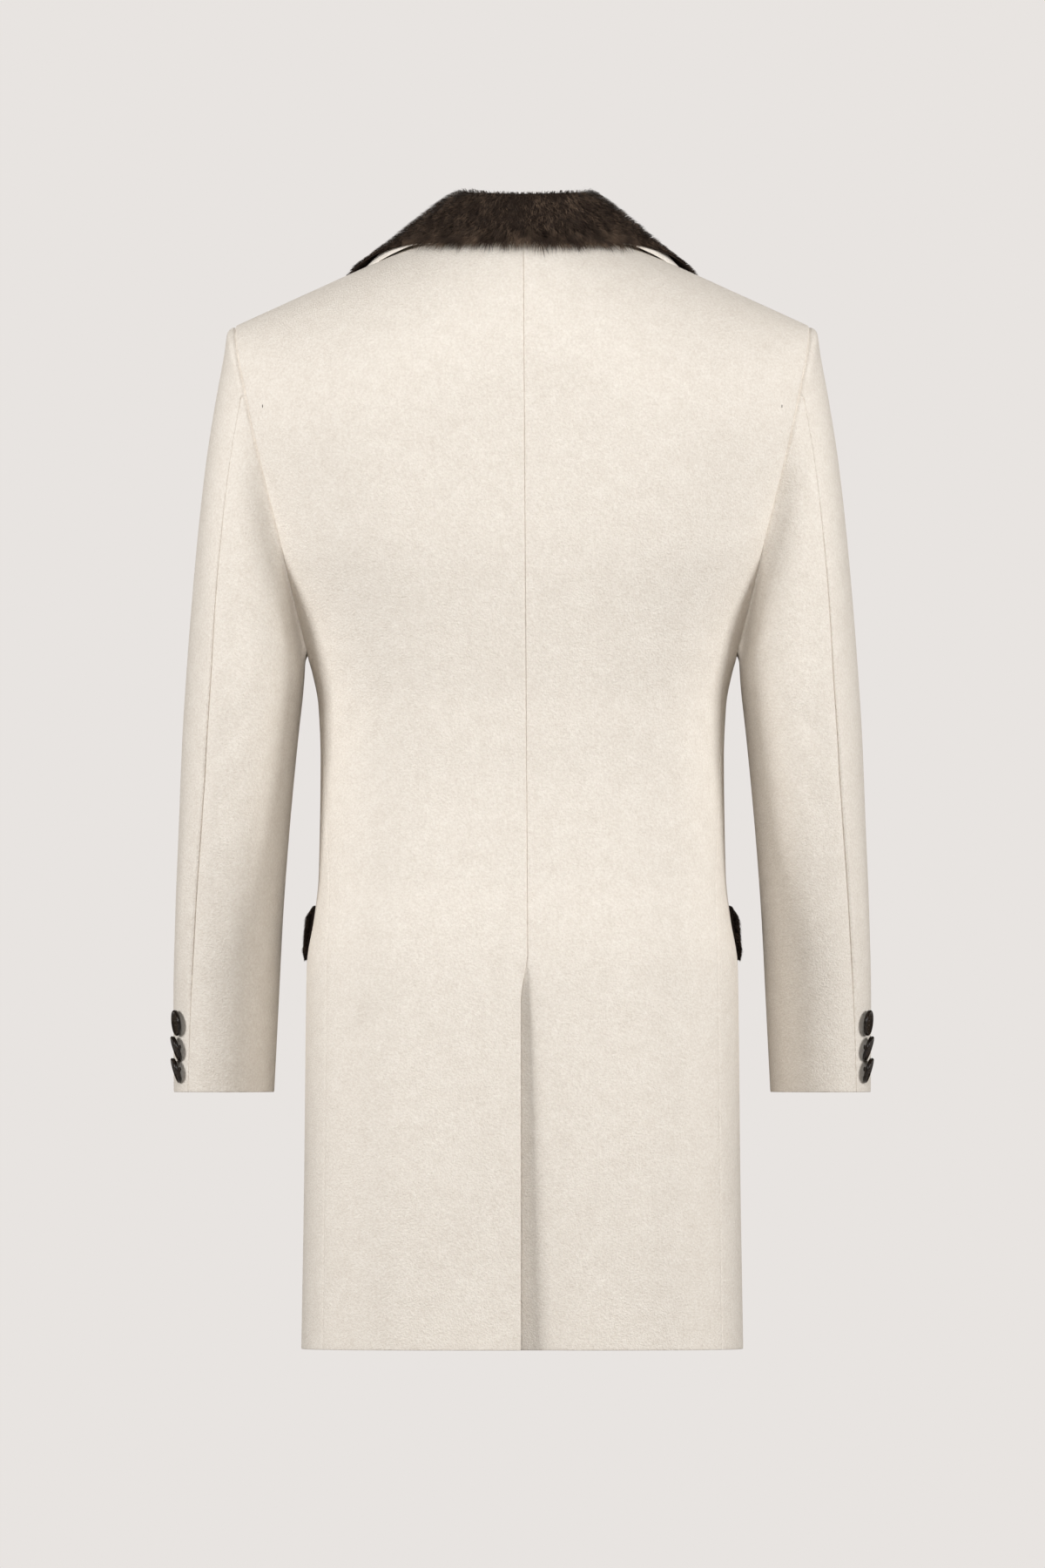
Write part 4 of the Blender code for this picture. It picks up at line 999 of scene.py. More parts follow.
def add_pile(name, grid, normals, fall, height, lean, crowd, count, seed, settings):
    """Loose hair over a fur piece: tapered blades that lean along its fall, in tufts, crowded by weight."""
    rng = np.random.default_rng(seed)
    share = (cell_areas(grid) * crowd[1:, 1:]).ravel()
    cells = rng.choice(len(share), size=count, p=share / share.sum())
    row, column = np.divmod(cells, grid.shape[1] - 1)
    v, u = rng.random(count), rng.random(count)

    def at(values):
        low = mix(values[row, column].T, values[row, column + 1].T, u)
        high = mix(values[row + 1, column].T, values[row + 1, column + 1].T, u)
        return mix(low, high, v).T

    root, normal, way = at(grid), at(normals), at(fall)
    tall, slant = at(height), at(lean)
    side = np.cross(normal, way)
    # Tufts a few millimetres wide share their slant and turn
    tuft = np.floor(root / settings.tuft_size).astype(int)
    _, group = np.unique(tuft, axis=0, return_inverse=True)
    group = group.ravel()
    groups = group.max() + 1
    slant = slant + rng.normal(0.0, TUFT_SLANT, groups)[group] + rng.normal(0.0, HAIR_SLANT, count)
    turn = rng.normal(0.0, TUFT_TURN, groups)[group] + rng.normal(0.0, HAIR_TURN, count)
    length = tall * rng.uniform(*HAIR_LENGTHS, count) * rng.normal(1.0, TUFT_LENGTH, groups)[group]
    length = length / np.maximum(np.cos(slant), LEAST_COSINE)

    def between(one, other, angle):
        return one * np.cos(angle)[:, None] + other * np.sin(angle)[:, None]

    flat = between(way, side, turn)
    middle = root + between(normal, flat, slant * START_SLANT) * (length * 0.5)[:, None]
    tip = middle + between(normal, flat, slant * DROOP_SLANT) * (length * 0.5)[:, None]
    broad = between(side, flat, rng.uniform(-HAIR_SPIN, HAIR_SPIN, count))
    half = broad * (settings.hair_width * rng.uniform(*HAIR_WIDTHS, count)[:, None] / 2.0)
    narrow = half * MIDDLE_WIDTH
    corners = [root - half, root + half, middle - narrow, middle + narrow, tip]
    verts = np.stack(corners, axis=1).reshape(-1, 3)
    first = np.arange(count) * len(corners)
    quads = np.stack([first, first + 1, first + 3, first + 2], axis=1)
    tris = np.stack([first + 2, first + 3, first + 4], axis=1)
    mesh = bpy.data.meshes.new(name)
    mesh.from_pydata(verts.tolist(), [], quads.tolist() + tris.tolist())
    tint = rng.normal(MEAN_TINT, HAIR_TINT, count) + rng.normal(0.0, TUFT_TINT, groups)[group]
    shades = {
        "along": np.tile([0.0, 0.0, MIDDLE_SHADE, MIDDLE_SHADE, 1.0], count),
        "tint": np.repeat(np.clip(tint, 0.0, 1.0), len(corners)),
    }
    for key, values in shades.items():
        mesh.attributes.new(key, "FLOAT", "POINT").data.foreach_set("value", values.astype(np.float32))
    made = add_object(name, mesh, fur_material(settings))
    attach(made, "root")
    return made


def neck_point(along):
    """A point of the right neck seam, from the centre back to the gorge."""
    if along <= COLLAR_NECK_SHARE:
        turn = math.radians(90.0 * along / COLLAR_NECK_SHARE)
        x, y = NECK_HALF * math.sin(turn), -NECK_BACK * math.cos(turn)
        lean = math.asin(-y / BODY.read("back", 0.0))
        return np.array([x, y, ridge_z(x) - ROUND["back"] * (1.0 - math.cos(lean))])
    z = mix(ridge_z(NECK_HALF), GORGE_Z, (along - COLLAR_NECK_SHARE) / (1.0 - COLLAR_NECK_SHARE))
    x = front_edge_x(z)
    return np.array([x, form_y(x, z, "front"), z])


def curve_through(start, start_way, end, end_way, steps):
    """Points of a smooth curve that leaves its start and reaches its end along the given ways."""
    t = np.arange(1, steps + 1)[:, None] / steps
    leaving = start * (1.0 + 2.0 * t) * (1.0 - t) ** 2 + start_way * t * (1.0 - t) ** 2
    return leaving + end * t * t * (3.0 - 2.0 * t) - end_way * t * t * (1.0 - t)


def collar_section(along):
    """Middle line of the collar from the neck seam up over its roll and down to the leaf's edge."""
    base = neck_point(along)
    apex = np.array([COLLAR.read("apex_" + axis, along) for axis in "xyz"])
    edge = np.array([COLLAR.read("edge_" + axis, along) for axis in "xyz"])
    rise = apex - base
    height = np.linalg.norm(rise)
    way = rise / height
    out = edge - apex - way * (way @ (edge - apex))
    out /= np.linalg.norm(out)
    base = base + way * COLLAR_RAISE
    over = out * (ROLL_SHARE * height + ROLL_REACH)
    stand = curve_through(base, rise - out * STAND_HOLLOW * height, apex, over, STAND_STEPS)
    leaf = curve_through(apex, out * LEAF_START, edge, (edge - apex) * LEAF_END, LEAF_STEPS)
    return np.concatenate([base[None], stand, leaf])


def collar_grid():
    """Middle surface of the whole collar from gorge to gorge, and its normals on the fur's side."""
    alongs = np.linspace(0.0, 1.0, COLLAR_STATIONS)
    right = np.array([collar_section(along) for along in alongs])
    grid = np.concatenate([mirrored(right[:0:-1]), right])
    # The roll leans a little to the right behind the neck
    behind = 1.0 - ramp(alongs, *COLLAR_FRONT)
    rising, falling = np.linspace(0.0, 1.0, STAND_STEPS + 1), np.linspace(1.0, 0.0, LEAF_STEPS + 1)[1:]
    shares = np.outer(np.concatenate([behind[:0:-1], behind]), np.concatenate([rising, falling]))
    grid[:, :, 0] += COLLAR_SHIFT * shares
    fold = grid[:, STAND_STEPS : STAND_STEPS + 1] - np.array([0.0, 0.0, FOLD_INSIDE])
    return grid, grid_normals(grid, fold)


def front_frame(x, z, hand):
    """Points of a front's outer face and its outward normals, in the right front's own sense of x."""

    def skin(px, pz):
        lift = lap_lift(-px, pz) if hand == "left" else 0.0
        return np.stack([px, form_y(px, pz, "front") + lift, pz], axis=-1)

    up = skin(x, z + PROBE) - skin(x, z - PROBE)
    aside = skin(x + PROBE, z) - skin(x - PROBE, z)
    normal = np.cross(up, aside)
    return skin(x, z), normal / np.linalg.norm(normal, axis=-1, keepdims=True)


def lapel_share(z, foot_z):
    return (z - foot_z) / (GORGE_Z - foot_z)


def lapel_grid(hand, into):
    """Points of a lapel, round its fold and over the front, at a depth into its cloth."""
    roll_z = np.linspace(LAPEL_FOOT_Z[hand], GORGE_Z - LAPEL_GORGE_GAP, LAPEL_ROWS + 1)
    share = lapel_share(roll_z, LAPEL_FOOT_Z["left"])
    drop = LAPEL.read("drop", share)
    rise = 1.0 - lapel_share(roll_z, LAPEL_FOOT_Z["right"])
    foot = RIGHT_FOOT_DROP * rise**2 if hand == "right" else np.zeros(len(roll_z))
    roll_x = front_edge_x(roll_z)
    point, normal = front_frame(roll_x, roll_z, hand)
    beside, _ = front_frame(roll_x + 2.0 * PROBE, roll_z, hand)
    across = (beside - point) / np.linalg.norm(beside - point, axis=1, keepdims=True)
    # The left roll flattens into the closing edge at its foot
    rounded = smooth_step(share / LAPEL_FOOT_SHARE) if hand == "left" else np.ones(len(share))
    roll = mix(LAPEL_FOOT_ROLL, LAPEL_ROLL, rounded)[:, None]
    columns = []
    for turn in np.radians(np.linspace(-90.0, 90.0, LAPEL_FOLD_STEPS + 1)):
        out = roll - WALL + (roll - into) * math.sin(turn)
        columns.append(point - across * (SEAM_GAP + (roll - into) * math.cos(turn)) + normal * out)
    for part in spaced(0.0, 1.0, LAPEL_FLAT_STEPS, LAPEL_USUAL_WIDTH)[1:]:
        fall = (drop + foot) * part + NOTCH_DROP * share**NOTCH_POWER * ramp(part, 0.5, 0.5)
        width = LAPEL.read("width", lapel_share(roll_z - foot * part, LAPEL_FOOT_Z["left"]))
        place, way = front_frame(front_edge_x(roll_z - foot * part) + width * part, roll_z - fall, hand)
        out = mix(2.0 * roll - WALL, LAPEL_REST, smooth_step(part))
        columns.append(place + way * (out - into))
    return np.stack(columns, axis=1)


def ring_place(z, along):
    """A point of the right half ring, a distance forward of the rear end of the pocket flap."""
    x, y = ring_xy(np.full(len(FLAP_DEGS), z), FLAP_DEGS)
    walked = np.concatenate([[0.0], np.cumsum(np.hypot(np.diff(x), np.diff(y)))])
    stop = np.interp(FLAP_REAR_Y, y, walked) + along
    return np.interp(stop, walked, x), np.interp(stop, walked, y)


def flap_grid():
    """Outer face of the body under the right pocket flap, with the flap's lower corners rounded."""
    alongs = spaced(0.0, 1.0, FLAP_COLUMNS, FLAP_LENGTH) * FLAP_LENGTH
    falls = spaced(0.0, 1.0, FLAP_ROWS, FLAP_HEIGHT)
    columns = []
    for along in alongs:
        into = max(0.0, FLAP_CORNER - min(along, FLAP_LENGTH - along))
        cut = FLAP_CORNER - math.sqrt(max(0.0, FLAP_CORNER**2 - into**2))
        heights = FLAP_TOP_Z - (FLAP_HEIGHT - cut) * falls
        columns.append([(*ring_place(z, along), z) for z in heights])
    return np.array(columns).transpose(1, 0, 2)[::-1]


def button_shape(size):
    """A turned button with a raised rim, a dished face and four drilled holes, its back at z = 0."""
    shape = bmesh.new()
    floor = size.thickness - size.dish
    profile = [
        (0.0, floor),
        (size.radius - size.rim * 1.25, floor),
        (size.radius - size.rim * 0.95, floor + size.dish * 0.25),
        (size.radius - size.rim * 0.72, floor + size.dish * 0.85),
        (size.radius - size.rim * 0.50, size.thickness),
        (size.radius - size.rim * 0.28, size.thickness * 0.97),
        (size.radius - size.rim * 0.10, size.thickness * 0.84),
        (size.radius, size.thickness * 0.58),
        (size.radius - size.rim * 0.06, size.thickness * 0.34),
        (size.radius - size.rim * 0.28, size.thickness * 0.10),
        (size.radius - size.rim * 0.60, 0.0),
        (0.0, 0.0),
    ]
    verts = [shape.verts.new((x, 0.0, z)) for x, z in profile]
    edges = [shape.edges.new(pair) for pair in zip(verts, verts[1:])]
    bmesh.ops.spin(
        shape, geom=verts + edges, cent=(0, 0, 0), axis=(0, 0, 1), angle=math.tau, steps=BUTTON_SIDES,
        use_merge=True, use_duplicate=False,
    )
    bmesh.ops.remove_doubles(shape, verts=shape.verts[:], dist=1e-6)
    bmesh.ops.recalc_face_normals(shape, faces=shape.faces[:])
    return drilled(shape, size)


def drilled(shape, size):
    """Cuts a button's four sewing holes."""
    drills = bmesh.new()
    for number in range(4):
        turn = math.radians(45.0 + 90.0 * number)
        x, y = size.hole_ring * math.cos(turn), size.hole_ring * math.sin(turn)
        bmesh.ops.create_cone(
            drills, cap_ends=True, segments=HOLE_SIDES, radius1=size.hole_radius, radius2=size.hole_radius,
            depth=size.thickness * 3.0, matrix=Matrix.Translation((x, y, size.thickness / 2)),
        )
    blank, tool = link("button", mesh_of("button", shape)), link("drills", mesh_of("drills", drills))
    cut = blank.modifiers.new("holes", "BOOLEAN")
    cut.operation = "DIFFERENCE"
    cut.solver = "EXACT"
    cut.object = tool
    made = evaluated_shape(blank)
    for holder in (blank, tool):
        old = holder.data
        bpy.data.objects.remove(holder)
        bpy.data.meshes.remove(old)
    return made


def button_thread(size, stand):
    """The sewing thread of a button: two bars over its holes and a wound shank behind it."""
    floor = size.thickness - size.dish
    reach = size.hole_ring * math.cos(math.radians(45.0))
    shape = bmesh.new()
    for side in (-reach, reach):
        for offset in (-STRAND_PITCH, 0.0, STRAND_PITCH):
            line = []
            for t in np.arange(BAR_STEPS + 1) / BAR_STEPS:
                arch = math.sin(math.pi * t) ** 0.5
                line.append((mix(-reach, reach, t), side + offset, floor - BAR_DIP + BAR_ARCH * arch))
            join_shape(shape, tube_shape(line, STRAND_RADIUS))
    wound = []
    for step in range(SHANK_TURNS * SHANK_STEPS + 1):
        turn = math.tau * step / SHANK_STEPS
        level = mix(SHANK_TOP, -stand, step / (SHANK_TURNS * SHANK_STEPS))
        wound.append((size.shank_radius * math.cos(turn), size.shank_radius * math.sin(turn), level))
    join_shape(shape, tube_shape(wound, SHANK_STRAND))
    join_shape(shape, tube_shape([(0.0, 0.0, SHANK_TOP), (0.0, 0.0, -stand)], size.shank_radius, 2))
    return shape


def add_button(name, size, place, face, stand, settings):
    """A horn button facing a way and standing off the cloth, sewn on with its thread."""
    face = Vector(face).normalized()
    side = Vector((0.0, 0.0, 1.0)).cross(face).normalized()
    turn = Matrix((side, face.cross(side), face)).transposed().to_4x4()
    where = Matrix.Translation(Vector(place)) @ turn
    pieces = []
    for label, shape, material in (
        ("horn_" + name, button_shape(size), horn_material(settings)),
        ("thread_" + name, button_thread(size, stand + SHANK_SUNK), thread_material(settings)),
    ):
        bmesh.ops.transform(shape, matrix=where, verts=shape.verts[:])
        pieces.append(add_object(label, mesh_of(label, shape), material))
        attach(pieces[-1], "root")
    button = pieces[0]
    button.data.set_sharp_from_angle(angle=math.radians(BUTTON_SHARP_DEG))
    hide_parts(name)


def cuff_place(z):
    """A point of the right sleeve beside its back seam and the way its cloth faces."""
    place = np.interp(z, SLEEVE.values["outer_z"][::-1], SLEEVE.keys[::-1])
    size = {name: SLEEVE.read(name, place) for name in SLEEVE.values}
    power = 2.0 / SLEEVE_SQUARE

    def ring_point(turn):
        x = mix(size["inner_x"], size["outer_x"], (1.0 + math.cos(turn) ** power) / 2.0)
        return np.array([x, size["middle_y"] - size["back"] * math.sin(turn) ** power, z])

    turn, step = math.radians(CUFF_BUTTON_DEG), 0.02
    way = np.cross(ring_point(turn + step) - ring_point(turn - step), np.array([0.0, 0.0, 1.0]))
    way = way if way[0] > 0.0 else -way
    return ring_point(turn), way / np.linalg.norm(way)


def length_setting(name, description, default):
    """A setting that is a length in metres."""
    return bpy.props.FloatProperty(name=name, description=description, default=default, unit="LENGTH")


def colour_setting(name, description, code):
    """A setting that is a colour, with its default as an sRGB hex code."""
    return bpy.props.FloatVectorProperty(
        name=name, description=description, default=linear_colour(code), subtype="COLOR", size=4)


class CoatSettings(bpy.types.PropertyGroup):
    """Sizes and colours of the coat that a user may change."""

    wall: length_setting("Felt thickness", "Thickness of the felt", WALL)
    seam_depth: length_setting("Seam depth", "How far the felt sinks into a seam", 0.0012)
    seam_width: length_setting("Seam width", "Half-width of the groove along a seam", 0.0011)
    hair_width: length_setting("Hair width", "Width of a drawn lock of hair at its root", 0.0006)
    tuft_size: length_setting("Tuft size", "Width of the tufts that the hair falls into", 0.0035)
    collar_hairs: bpy.props.IntProperty(
        name="Collar hairs", description="Locks of hair drawn on the collar", default=60000)
    flap_hairs: bpy.props.IntProperty(
        name="Flap hairs", description="Locks of hair drawn on each pocket flap", default=12000)
    felt_light: colour_setting("Felt", "Lighter tone of the felt", "f5efe6")
    felt_shade: colour_setting("Felt shade", "Darker tone of the felt", "e1d8cd")
    fur_root: colour_setting("Fur root", "Colour at the roots of the fur", "1c1512")
    fur_dark: colour_setting("Fur", "Colour of the darker hairs", "3a2e26")
    fur_tip: colour_setting("Fur tips", "Colour of the lighter hairs", "7d6958")
    horn_dark: colour_setting("Horn", "Colour of the horn", "14100e")
    horn_streak: colour_setting("Horn streaks", "Colour of the streaks in the horn", "332820")
    thread_light: colour_setting("Thread", "Lighter tone of the sewing thread", "3a2f27")
    thread_shade: colour_setting("Thread shade", "Darker tone of the sewing thread", "1d1713")
    backdrop: colour_setting("Studio", "Colour of the studio and its floor", "e8e4e1")
    air_colour: colour_setting(
        "Air", "Colour of the studio's even light, warm from the cloth itself", "f2dcc0")
    air_light: bpy.props.FloatProperty(
        name="Air light", description="Strength of the studio's even light beside its lamps", default=0.10)
    photo_scale: length_setting("Picture height", "Height of the picture's frame at the coat", 1.341)
    camera_distance: length_setting("Camera distance", "Distance of the camera from the coat", 40.0)


class COAT_OT_backs(bpy.types.Operator):
    """Makes the two felt backs with their centre seam and vent, and the small tack beside each armhole"""

    bl_idname = "coat.backs"
    bl_label = "Felt backs"

    def execute(self, context):
        settings = context.scene.coat
        back = back_grid()
        vent = smooth_step((VENT_TOP_Z - back[:, :1, 2]) / VENT_FOLD_FADE)
        for hand, grid in (("right", open_vent(drift_seam(back))), ("left", drift_seam(mirrored(back)))):
            toward = middle_line(grid)
            seams = {"first": 1.0 - vent, "last": armhole_sink(grid), "high": 1.0}
            folds = {"low": HEM_FOLD, "first": vent}
            add_felt("back_" + hand, grid, toward, seams, folds, BACK_CREASES, settings)
            z = TACK_Z + np.linspace(-0.5, 0.5, 5) * TACK_LENGTH
            y = form_y(TACK_X, z, "back") - TACK_OUT
            line = np.stack([np.full(len(z), TACK_X), y, z], axis=1) * HANDS[hand]
            name = "thread_tack_" + hand
            tack = add_object(name, mesh_of(name, tube_shape(line, TACK_RADIUS)), thread_material(settings))
            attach(tack, "root")
        return {"FINISHED"}


class COAT_OT_sides(bpy.types.Operator):
    """Makes the felt side panels under the arms"""

    bl_idname = "coat.sides"
    bl_label = "Felt sides"

    def execute(self, context):
        settings = context.scene.coat
        for hand, turn in HANDS.items():
            grid = side_grid() * turn
            toward = middle_line(grid)
            seams = {"first": SIDE_SEAM, "last": SIDE_SEAM, "high": SIDE_SEAM}
            add_felt("side_" + hand, grid, toward, seams, {"low": HEM_FOLD}, [], settings)
        return {"FINISHED"}


class COAT_OT_fronts(bpy.types.Operator):
    """Makes the two felt fronts, the left one over the right"""

    bl_idname = "coat.fronts"
    bl_label = "Felt fronts"

    def execute(self, context):
        settings = context.scene.coat
        front = front_grid()
        left = mirrored(front)
        left[..., 1] += lap_lift(left[..., 0], left[..., 2])
        for hand, grid in (("right", front), ("left", left)):
            toward = middle_line(grid)
            seams, folds = {"last": armhole_sink(grid), "high": 1.0}, {"low": HEM_FOLD, "first": 1.0}
            add_felt("front_" + hand, grid, toward, seams, folds, FRONT_CREASES, settings)
        return {"FINISHED"}


class COAT_OT_sleeves(bpy.types.Operator):
    """Makes the upper and under pieces of both sleeves"""

    bl_idname = "coat.sleeves"
    bl_label = "Felt sleeves"

    def execute(self, context):
        settings = context.scene.coat
        back, side, front = back_grid(), side_grid(), front_grid()
        sunk = []
        for grid, seams in (
            (back, {"last": armhole_sink(back), "high": 1.0}),
            (side, {"high": SIDE_SEAM}),
            (front, {"last": armhole_sink(front), "high": 1.0}),
        ):
            normals = grid_normals(grid, middle_line(grid))
            sunk.append(shaped_skins(grid, normals, seams, {}, settings.wall, settings)[0])
        armhole, sunk_ring = armhole_ring(back, side, front), armhole_ring(*sunk)[0]
        back_seam = SLEEVE_SEAM.read("back_deg", sleeve_rings())[:, None]
        under = mix(back_seam, SLEEVE_FRONT_SEAM_DEG, spaced(0.0, 1.0, UNDER_COLUMNS, UNDER_ROUND))
        upper = mix(SLEEVE_FRONT_SEAM_DEG, back_seam + 360.0, spaced(0.0, 1.0, UPPER_COLUMNS, UPPER_ROUND))
        # The edges of the seam behind the elbow lie level at the armhole and stand out more below the elbow
        rings = sleeve_rings()[::-1, None]
        sharp = mix(BACK_SEAM_HIGH, BACK_SEAM_LOW, ramp(rings, *SEAM_SHARPENS))
        sharp *= mix(1.0, BACK_SEAM_CUFF, ramp(rings, *SEAM_SOFTENS))
        # Both seams run out into the armhole's own groove
        start = ramp(rings, *SEAM_STARTS)
        behind = np.maximum(sharp, BACK_SEAM_TOP * (1.0 - ramp(rings, *SEAM_TOP_FADES))) * start
        before = FRONT_SEAM * start
        for piece, angles, lips, seams in (
            ("upper", upper, {"last": UPPER_LIP * sharp * start}, {"first": before, "last": behind}),
            ("under", under, {"first": UNDER_LIP * sharp * start}, {"first": behind, "last": before}),
        ):
            grid = sleeve_grid(armhole, sunk_ring, angles, settings)[::-1]
            line = sleeve_axis(grid)
            round_x = SLEEVE_QUARTER / 90.0 * np.where(angles > 180.0, angles - 360.0, angles)[::-1]
            for hand, turn in HANDS.items():
                add_felt(
                    f"sleeve_{piece}_{hand}", grid * turn, line * turn, seams, {"low": HEM_FOLD},
                    SLEEVE_CREASES, settings, round_x, lips,
                )
        return {"FINISHED"}


class COAT_OT_collar(bpy.types.Operator):
    """Makes the fur top collar with its pile, and the felt under collar"""

    bl_idname = "coat.collar"
    bl_label = "Fur collar"

    def execute(self, context):
        settings = context.scene.coat
        grid, normals = collar_grid()
        steps = grid.shape[1] - 1
        part = np.arange(steps + 1) / steps
        along = np.abs(np.linspace(-1.0, 1.0, len(grid)))[:, None]
        thick = mix(FUR_WALL, FUR_EDGE, ramp(part, *FUR_THINS))[None, :, None]
        skin = grid + normals * LAYER_GAP / 2.0
        hide = skin + normals * thick * UNDERFUR
        collar = add_sheet(
            "fur_collar", "collar_fur", hide, skin, underfur_material(settings),
        )
        settled = ramp(along, *UNDER_SETTLES) * (1.0 - ramp(along, *UNDER_RISES))
        lower = grid - normals * LAYER_GAP / 2.0
        lower[..., 2] -= UNDER_DROOP * settled * ramp(part, *UNDER_EDGE)
        outer, inner = shaped_skins(lower, normals, {}, {"last": 1.0}, UNDER_WALL, settings)
        add_sheet(
            "felt_collar_under", "collar_under", outer, inner, felt_material(settings),
        )
        fall = np.gradient(grid, axis=1)
        fall[:, :STAND_STEPS] *= -1.0
        fall /= np.linalg.norm(fall, axis=2, keepdims=True)
        from_roll = np.abs(np.arange(steps + 1) - STAND_STEPS) / LEAF_STEPS
        lean = np.broadcast_to(mix(ROLL_SLANT, LEAF_SLANT, ramp(from_roll, *HAIR_STANDS)), grid.shape[:2])
        # Behind the neck the hair hangs past the leaf's edge; towards the tips the felt shows below it
        hanging = (1.0 - ramp(along, *FRINGE_ENDS)) * ramp(part, *FRINGE_STARTS)
        height = thick[..., 0] * (1.0 - UNDERFUR) + LEAF_HAIR * ramp(from_roll, *HAIR_GROWS)
        height = height + FRINGE * hanging
        crowd = np.broadcast_to(1.0 + EDGE_CROWD * ramp(part, *CROWD_STARTS), grid.shape[:2])
        pile = add_pile(
            "fur_collar_pile", hide, normals, fall, height, lean, crowd, settings.collar_hairs, COLLAR_SEED,
            settings,
        )
        pile.parent = collar
        return {"FINISHED"}


class COAT_OT_lapels(bpy.types.Operator):
    """Makes the lapels, turned back along their roll"""

    bl_idname = "coat.lapels"
    bl_label = "Felt lapels"

    def execute(self, context):
        settings = context.scene.coat
        for hand, turn in HANDS.items():
            outer, inner = lapel_grid(hand, 0.0) * turn, lapel_grid(hand, settings.wall) * turn
            add_sheet(
                "felt_lapel_" + hand, "lapel_" + hand, outer, inner, felt_material(settings),
            )
        return {"FINISHED"}


class COAT_OT_flaps(bpy.types.Operator):
    """Makes the fur pocket flaps with their pile"""

    bl_idname = "coat.flaps"
    bl_label = "Fur pocket flaps"

    def execute(self, context):
        settings = context.scene.coat
        base = flap_grid()
        for number, (hand, turn) in enumerate(HANDS.items()):
            grid = base * turn
            normals = grid_normals(grid, middle_line(grid))
            edge = np.minimum.reduce(list(edge_distances(grid).values()))
            fallen = np.linspace(1.0, 0.0, len(grid))[:, None]
            bulge = FLAP_BULGE * ramp(fallen, *FLAP_SWELLS) * (1.0 - ramp(fallen, *FLAP_SETTLES))
            thick = (FLAP_WALL + bulge) * mix(FLAP_EDGE_SHARE, 1.0, smooth_step(edge / FLAP_EDGE_WIDTH))
            inner = grid + normals * FLAP_GAP
            hide = inner + normals * (thick * UNDERFUR)[..., None]
            flap = add_sheet(
                "fur_flap_" + hand, "flap_" + hand, hide, inner, underfur_material(settings),
            )
            fall = -np.gradient(grid, axis=0)
            fall /= np.linalg.norm(fall, axis=2, keepdims=True)
            lean, crowd = np.full(grid.shape[:2], FLAP_SLANT), np.ones(grid.shape[:2])
            height = thick * (1.0 - UNDERFUR) + FLAP_HAIR
            pile = add_pile(
                f"fur_flap_{hand}_pile", hide, normals, fall, height, lean, crowd, settings.flap_hairs,
                FLAP_SEED + number, settings,
            )
            pile.parent = flap
        return {"FINISHED"}


class COAT_OT_buttons(bpy.types.Operator):
    """Makes the horn buttons of the cuffs and the front"""

    bl_idname = "coat.buttons"
    bl_label = "Horn buttons"

    def execute(self, context):
        settings = context.scene.coat
        for number, cuff in enumerate(CUFF_PLACES, start=1):
            point, way = cuff_place(cuff.z)
            turn, tilt = math.radians(cuff.turn_deg), math.radians(cuff.tilt_deg)
            level = way * math.cos(turn) + np.cross((0.0, 0.0, 1.0), way) * math.sin(turn)
            face = level * math.cos(tilt) - np.array([0.0, 0.0, math.sin(tilt)])
            place = point + way * CUFF_BUTTON_STAND
            for hand, side in HANDS.items():
                name = f"cuff_button_{hand}_{number}"
                add_button(name, CUFF_BUTTON, place * side, face * side, CUFF_BUTTON_STAND, settings)
        for number, z in enumerate(FRONT_BUTTON_ZS, start=1):
            point, way = front_frame(np.array(0.0), np.array(z), "left")
            place = point + way * FRONT_BUTTON_STAND
            add_button(f"front_button_{number}", FRONT_BUTTON, place, way, FRONT_BUTTON_STAND, settings)
        return {"FINISHED"}


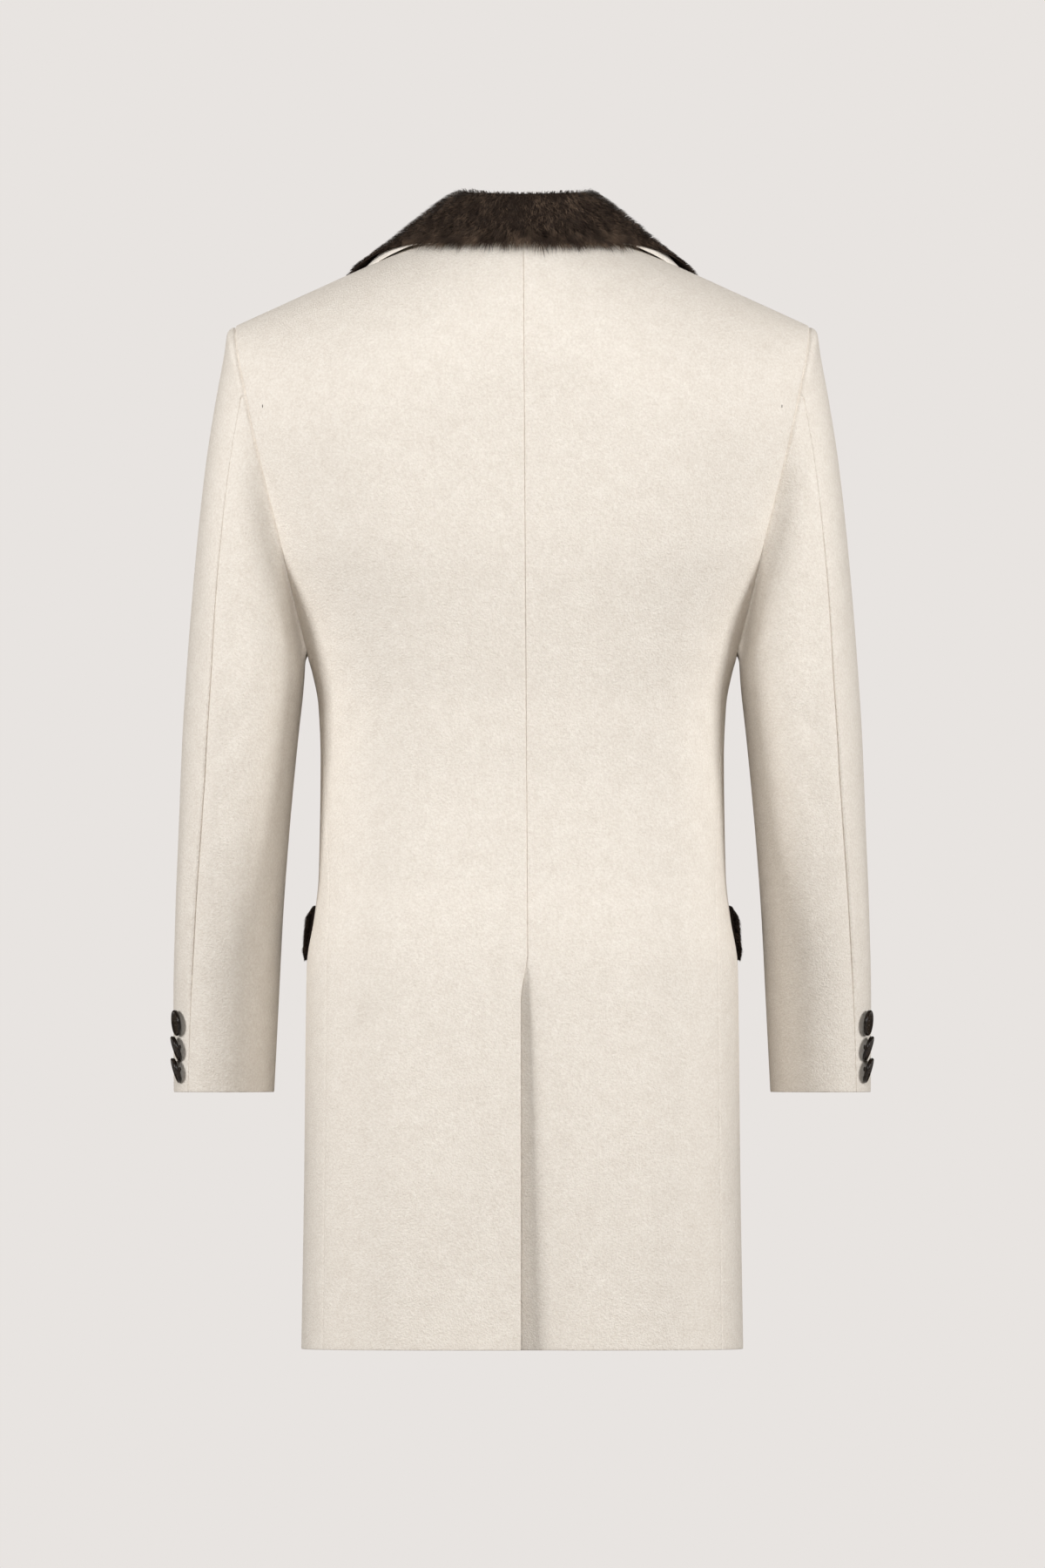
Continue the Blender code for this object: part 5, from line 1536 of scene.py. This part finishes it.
class COAT_OT_studio(bpy.types.Operator):
    """Makes the pale studio, its soft lights and the camera"""

    bl_idname = "coat.studio"
    bl_label = "Studio"

    def execute(self, context):
        settings = context.scene.coat
        scene = context.scene
        shape = bmesh.new()
        level = Matrix.Translation((0.0, 0.0, FLOOR_Z))
        bmesh.ops.create_circle(shape, cap_ends=True, segments=FLOOR_SIDES, radius=FLOOR_RADIUS, matrix=level)
        floor = add_object("studio_floor", mesh_of("studio_floor", shape), paper_material(settings))
        # The floor is seen but throws no light up at the hem and the cuffs
        floor.visible_diffuse = False

        world = bpy.data.worlds.new("studio_air")
        world.use_nodes = True
        tree = world.node_tree
        seen = tree.nodes["Background"]
        seen.inputs["Color"].default_value = settings.backdrop
        # The air lights the coat less than it shows, as in a studio whose pale wall is lit for itself
        even = {"Color": settings.air_colour, "Strength": settings.air_light}
        glow = add_node(tree, "ShaderNodeBackground", even)
        ray = add_node(tree, "ShaderNodeLightPath").outputs["Is Camera Ray"]
        both = add_node(tree, "ShaderNodeMixShader", {0: ray, 1: glow.outputs[0], 2: seen.outputs[0]})
        tree.links.new(both.outputs[0], tree.nodes["World Output"].inputs["Surface"])
        scene.world = world
        scene.view_settings.view_transform = "Standard"
        scene.view_settings.look = "None"

        for lamp in LAMPS:
            light = bpy.data.lights.new(lamp.name, "AREA")
            light.shape = "SQUARE"
            light.size = lamp.width
            light.energy = lamp.watts
            holder = link(lamp.name, light)
            holder.location = lamp.place
            holder.rotation_mode = "QUATERNION"
            holder.rotation_quaternion = (LAMPS_AIM - Vector(lamp.place)).to_track_quat("-Z", "Y")

        lens = bpy.data.cameras.new("camera")
        lens.sensor_width = CAMERA_SENSOR_MM
        lens.lens = lens.sensor_width * settings.camera_distance / settings.photo_scale
        lens.clip_end = CAMERA_SEES
        camera = link("camera", lens)
        camera.location = (CAMERA_X, -settings.camera_distance, CAMERA_Z)
        camera.rotation_euler = (math.radians(90.0), 0.0, 0.0)
        scene.camera = camera
        return {"FINISHED"}


class COAT_PT_sidebar(bpy.types.Panel):
    """Lists the coat's pieces and its settings"""

    bl_label = "Felt coat"
    bl_idname = "COAT_PT_sidebar"
    bl_space_type = "VIEW_3D"
    bl_region_type = "UI"
    bl_category = "Coat"

    def draw(self, context):
        for key in CoatSettings.__annotations__:
            self.layout.prop(context.scene.coat, key)
        for step in STEPS:
            self.layout.operator(step.bl_idname)


STEPS = [
    COAT_OT_backs,
    COAT_OT_sides,
    COAT_OT_fronts,
    COAT_OT_sleeves,
    COAT_OT_collar,
    COAT_OT_lapels,
    COAT_OT_flaps,
    COAT_OT_buttons,
    COAT_OT_studio,
]


def register():
    for item in (CoatSettings, *STEPS, COAT_PT_sidebar):
        bpy.utils.register_class(item)
    bpy.types.Scene.coat = bpy.props.PointerProperty(type=CoatSettings)


def unregister():
    del bpy.types.Scene.coat
    for item in (COAT_PT_sidebar, *reversed(STEPS), CoatSettings):
        bpy.utils.unregister_class(item)


def main():
    register()
    for step in STEPS:
        group, name = step.bl_idname.split(".")
        getattr(getattr(bpy.ops, group), name)()


if __name__ == "__main__":
    main()
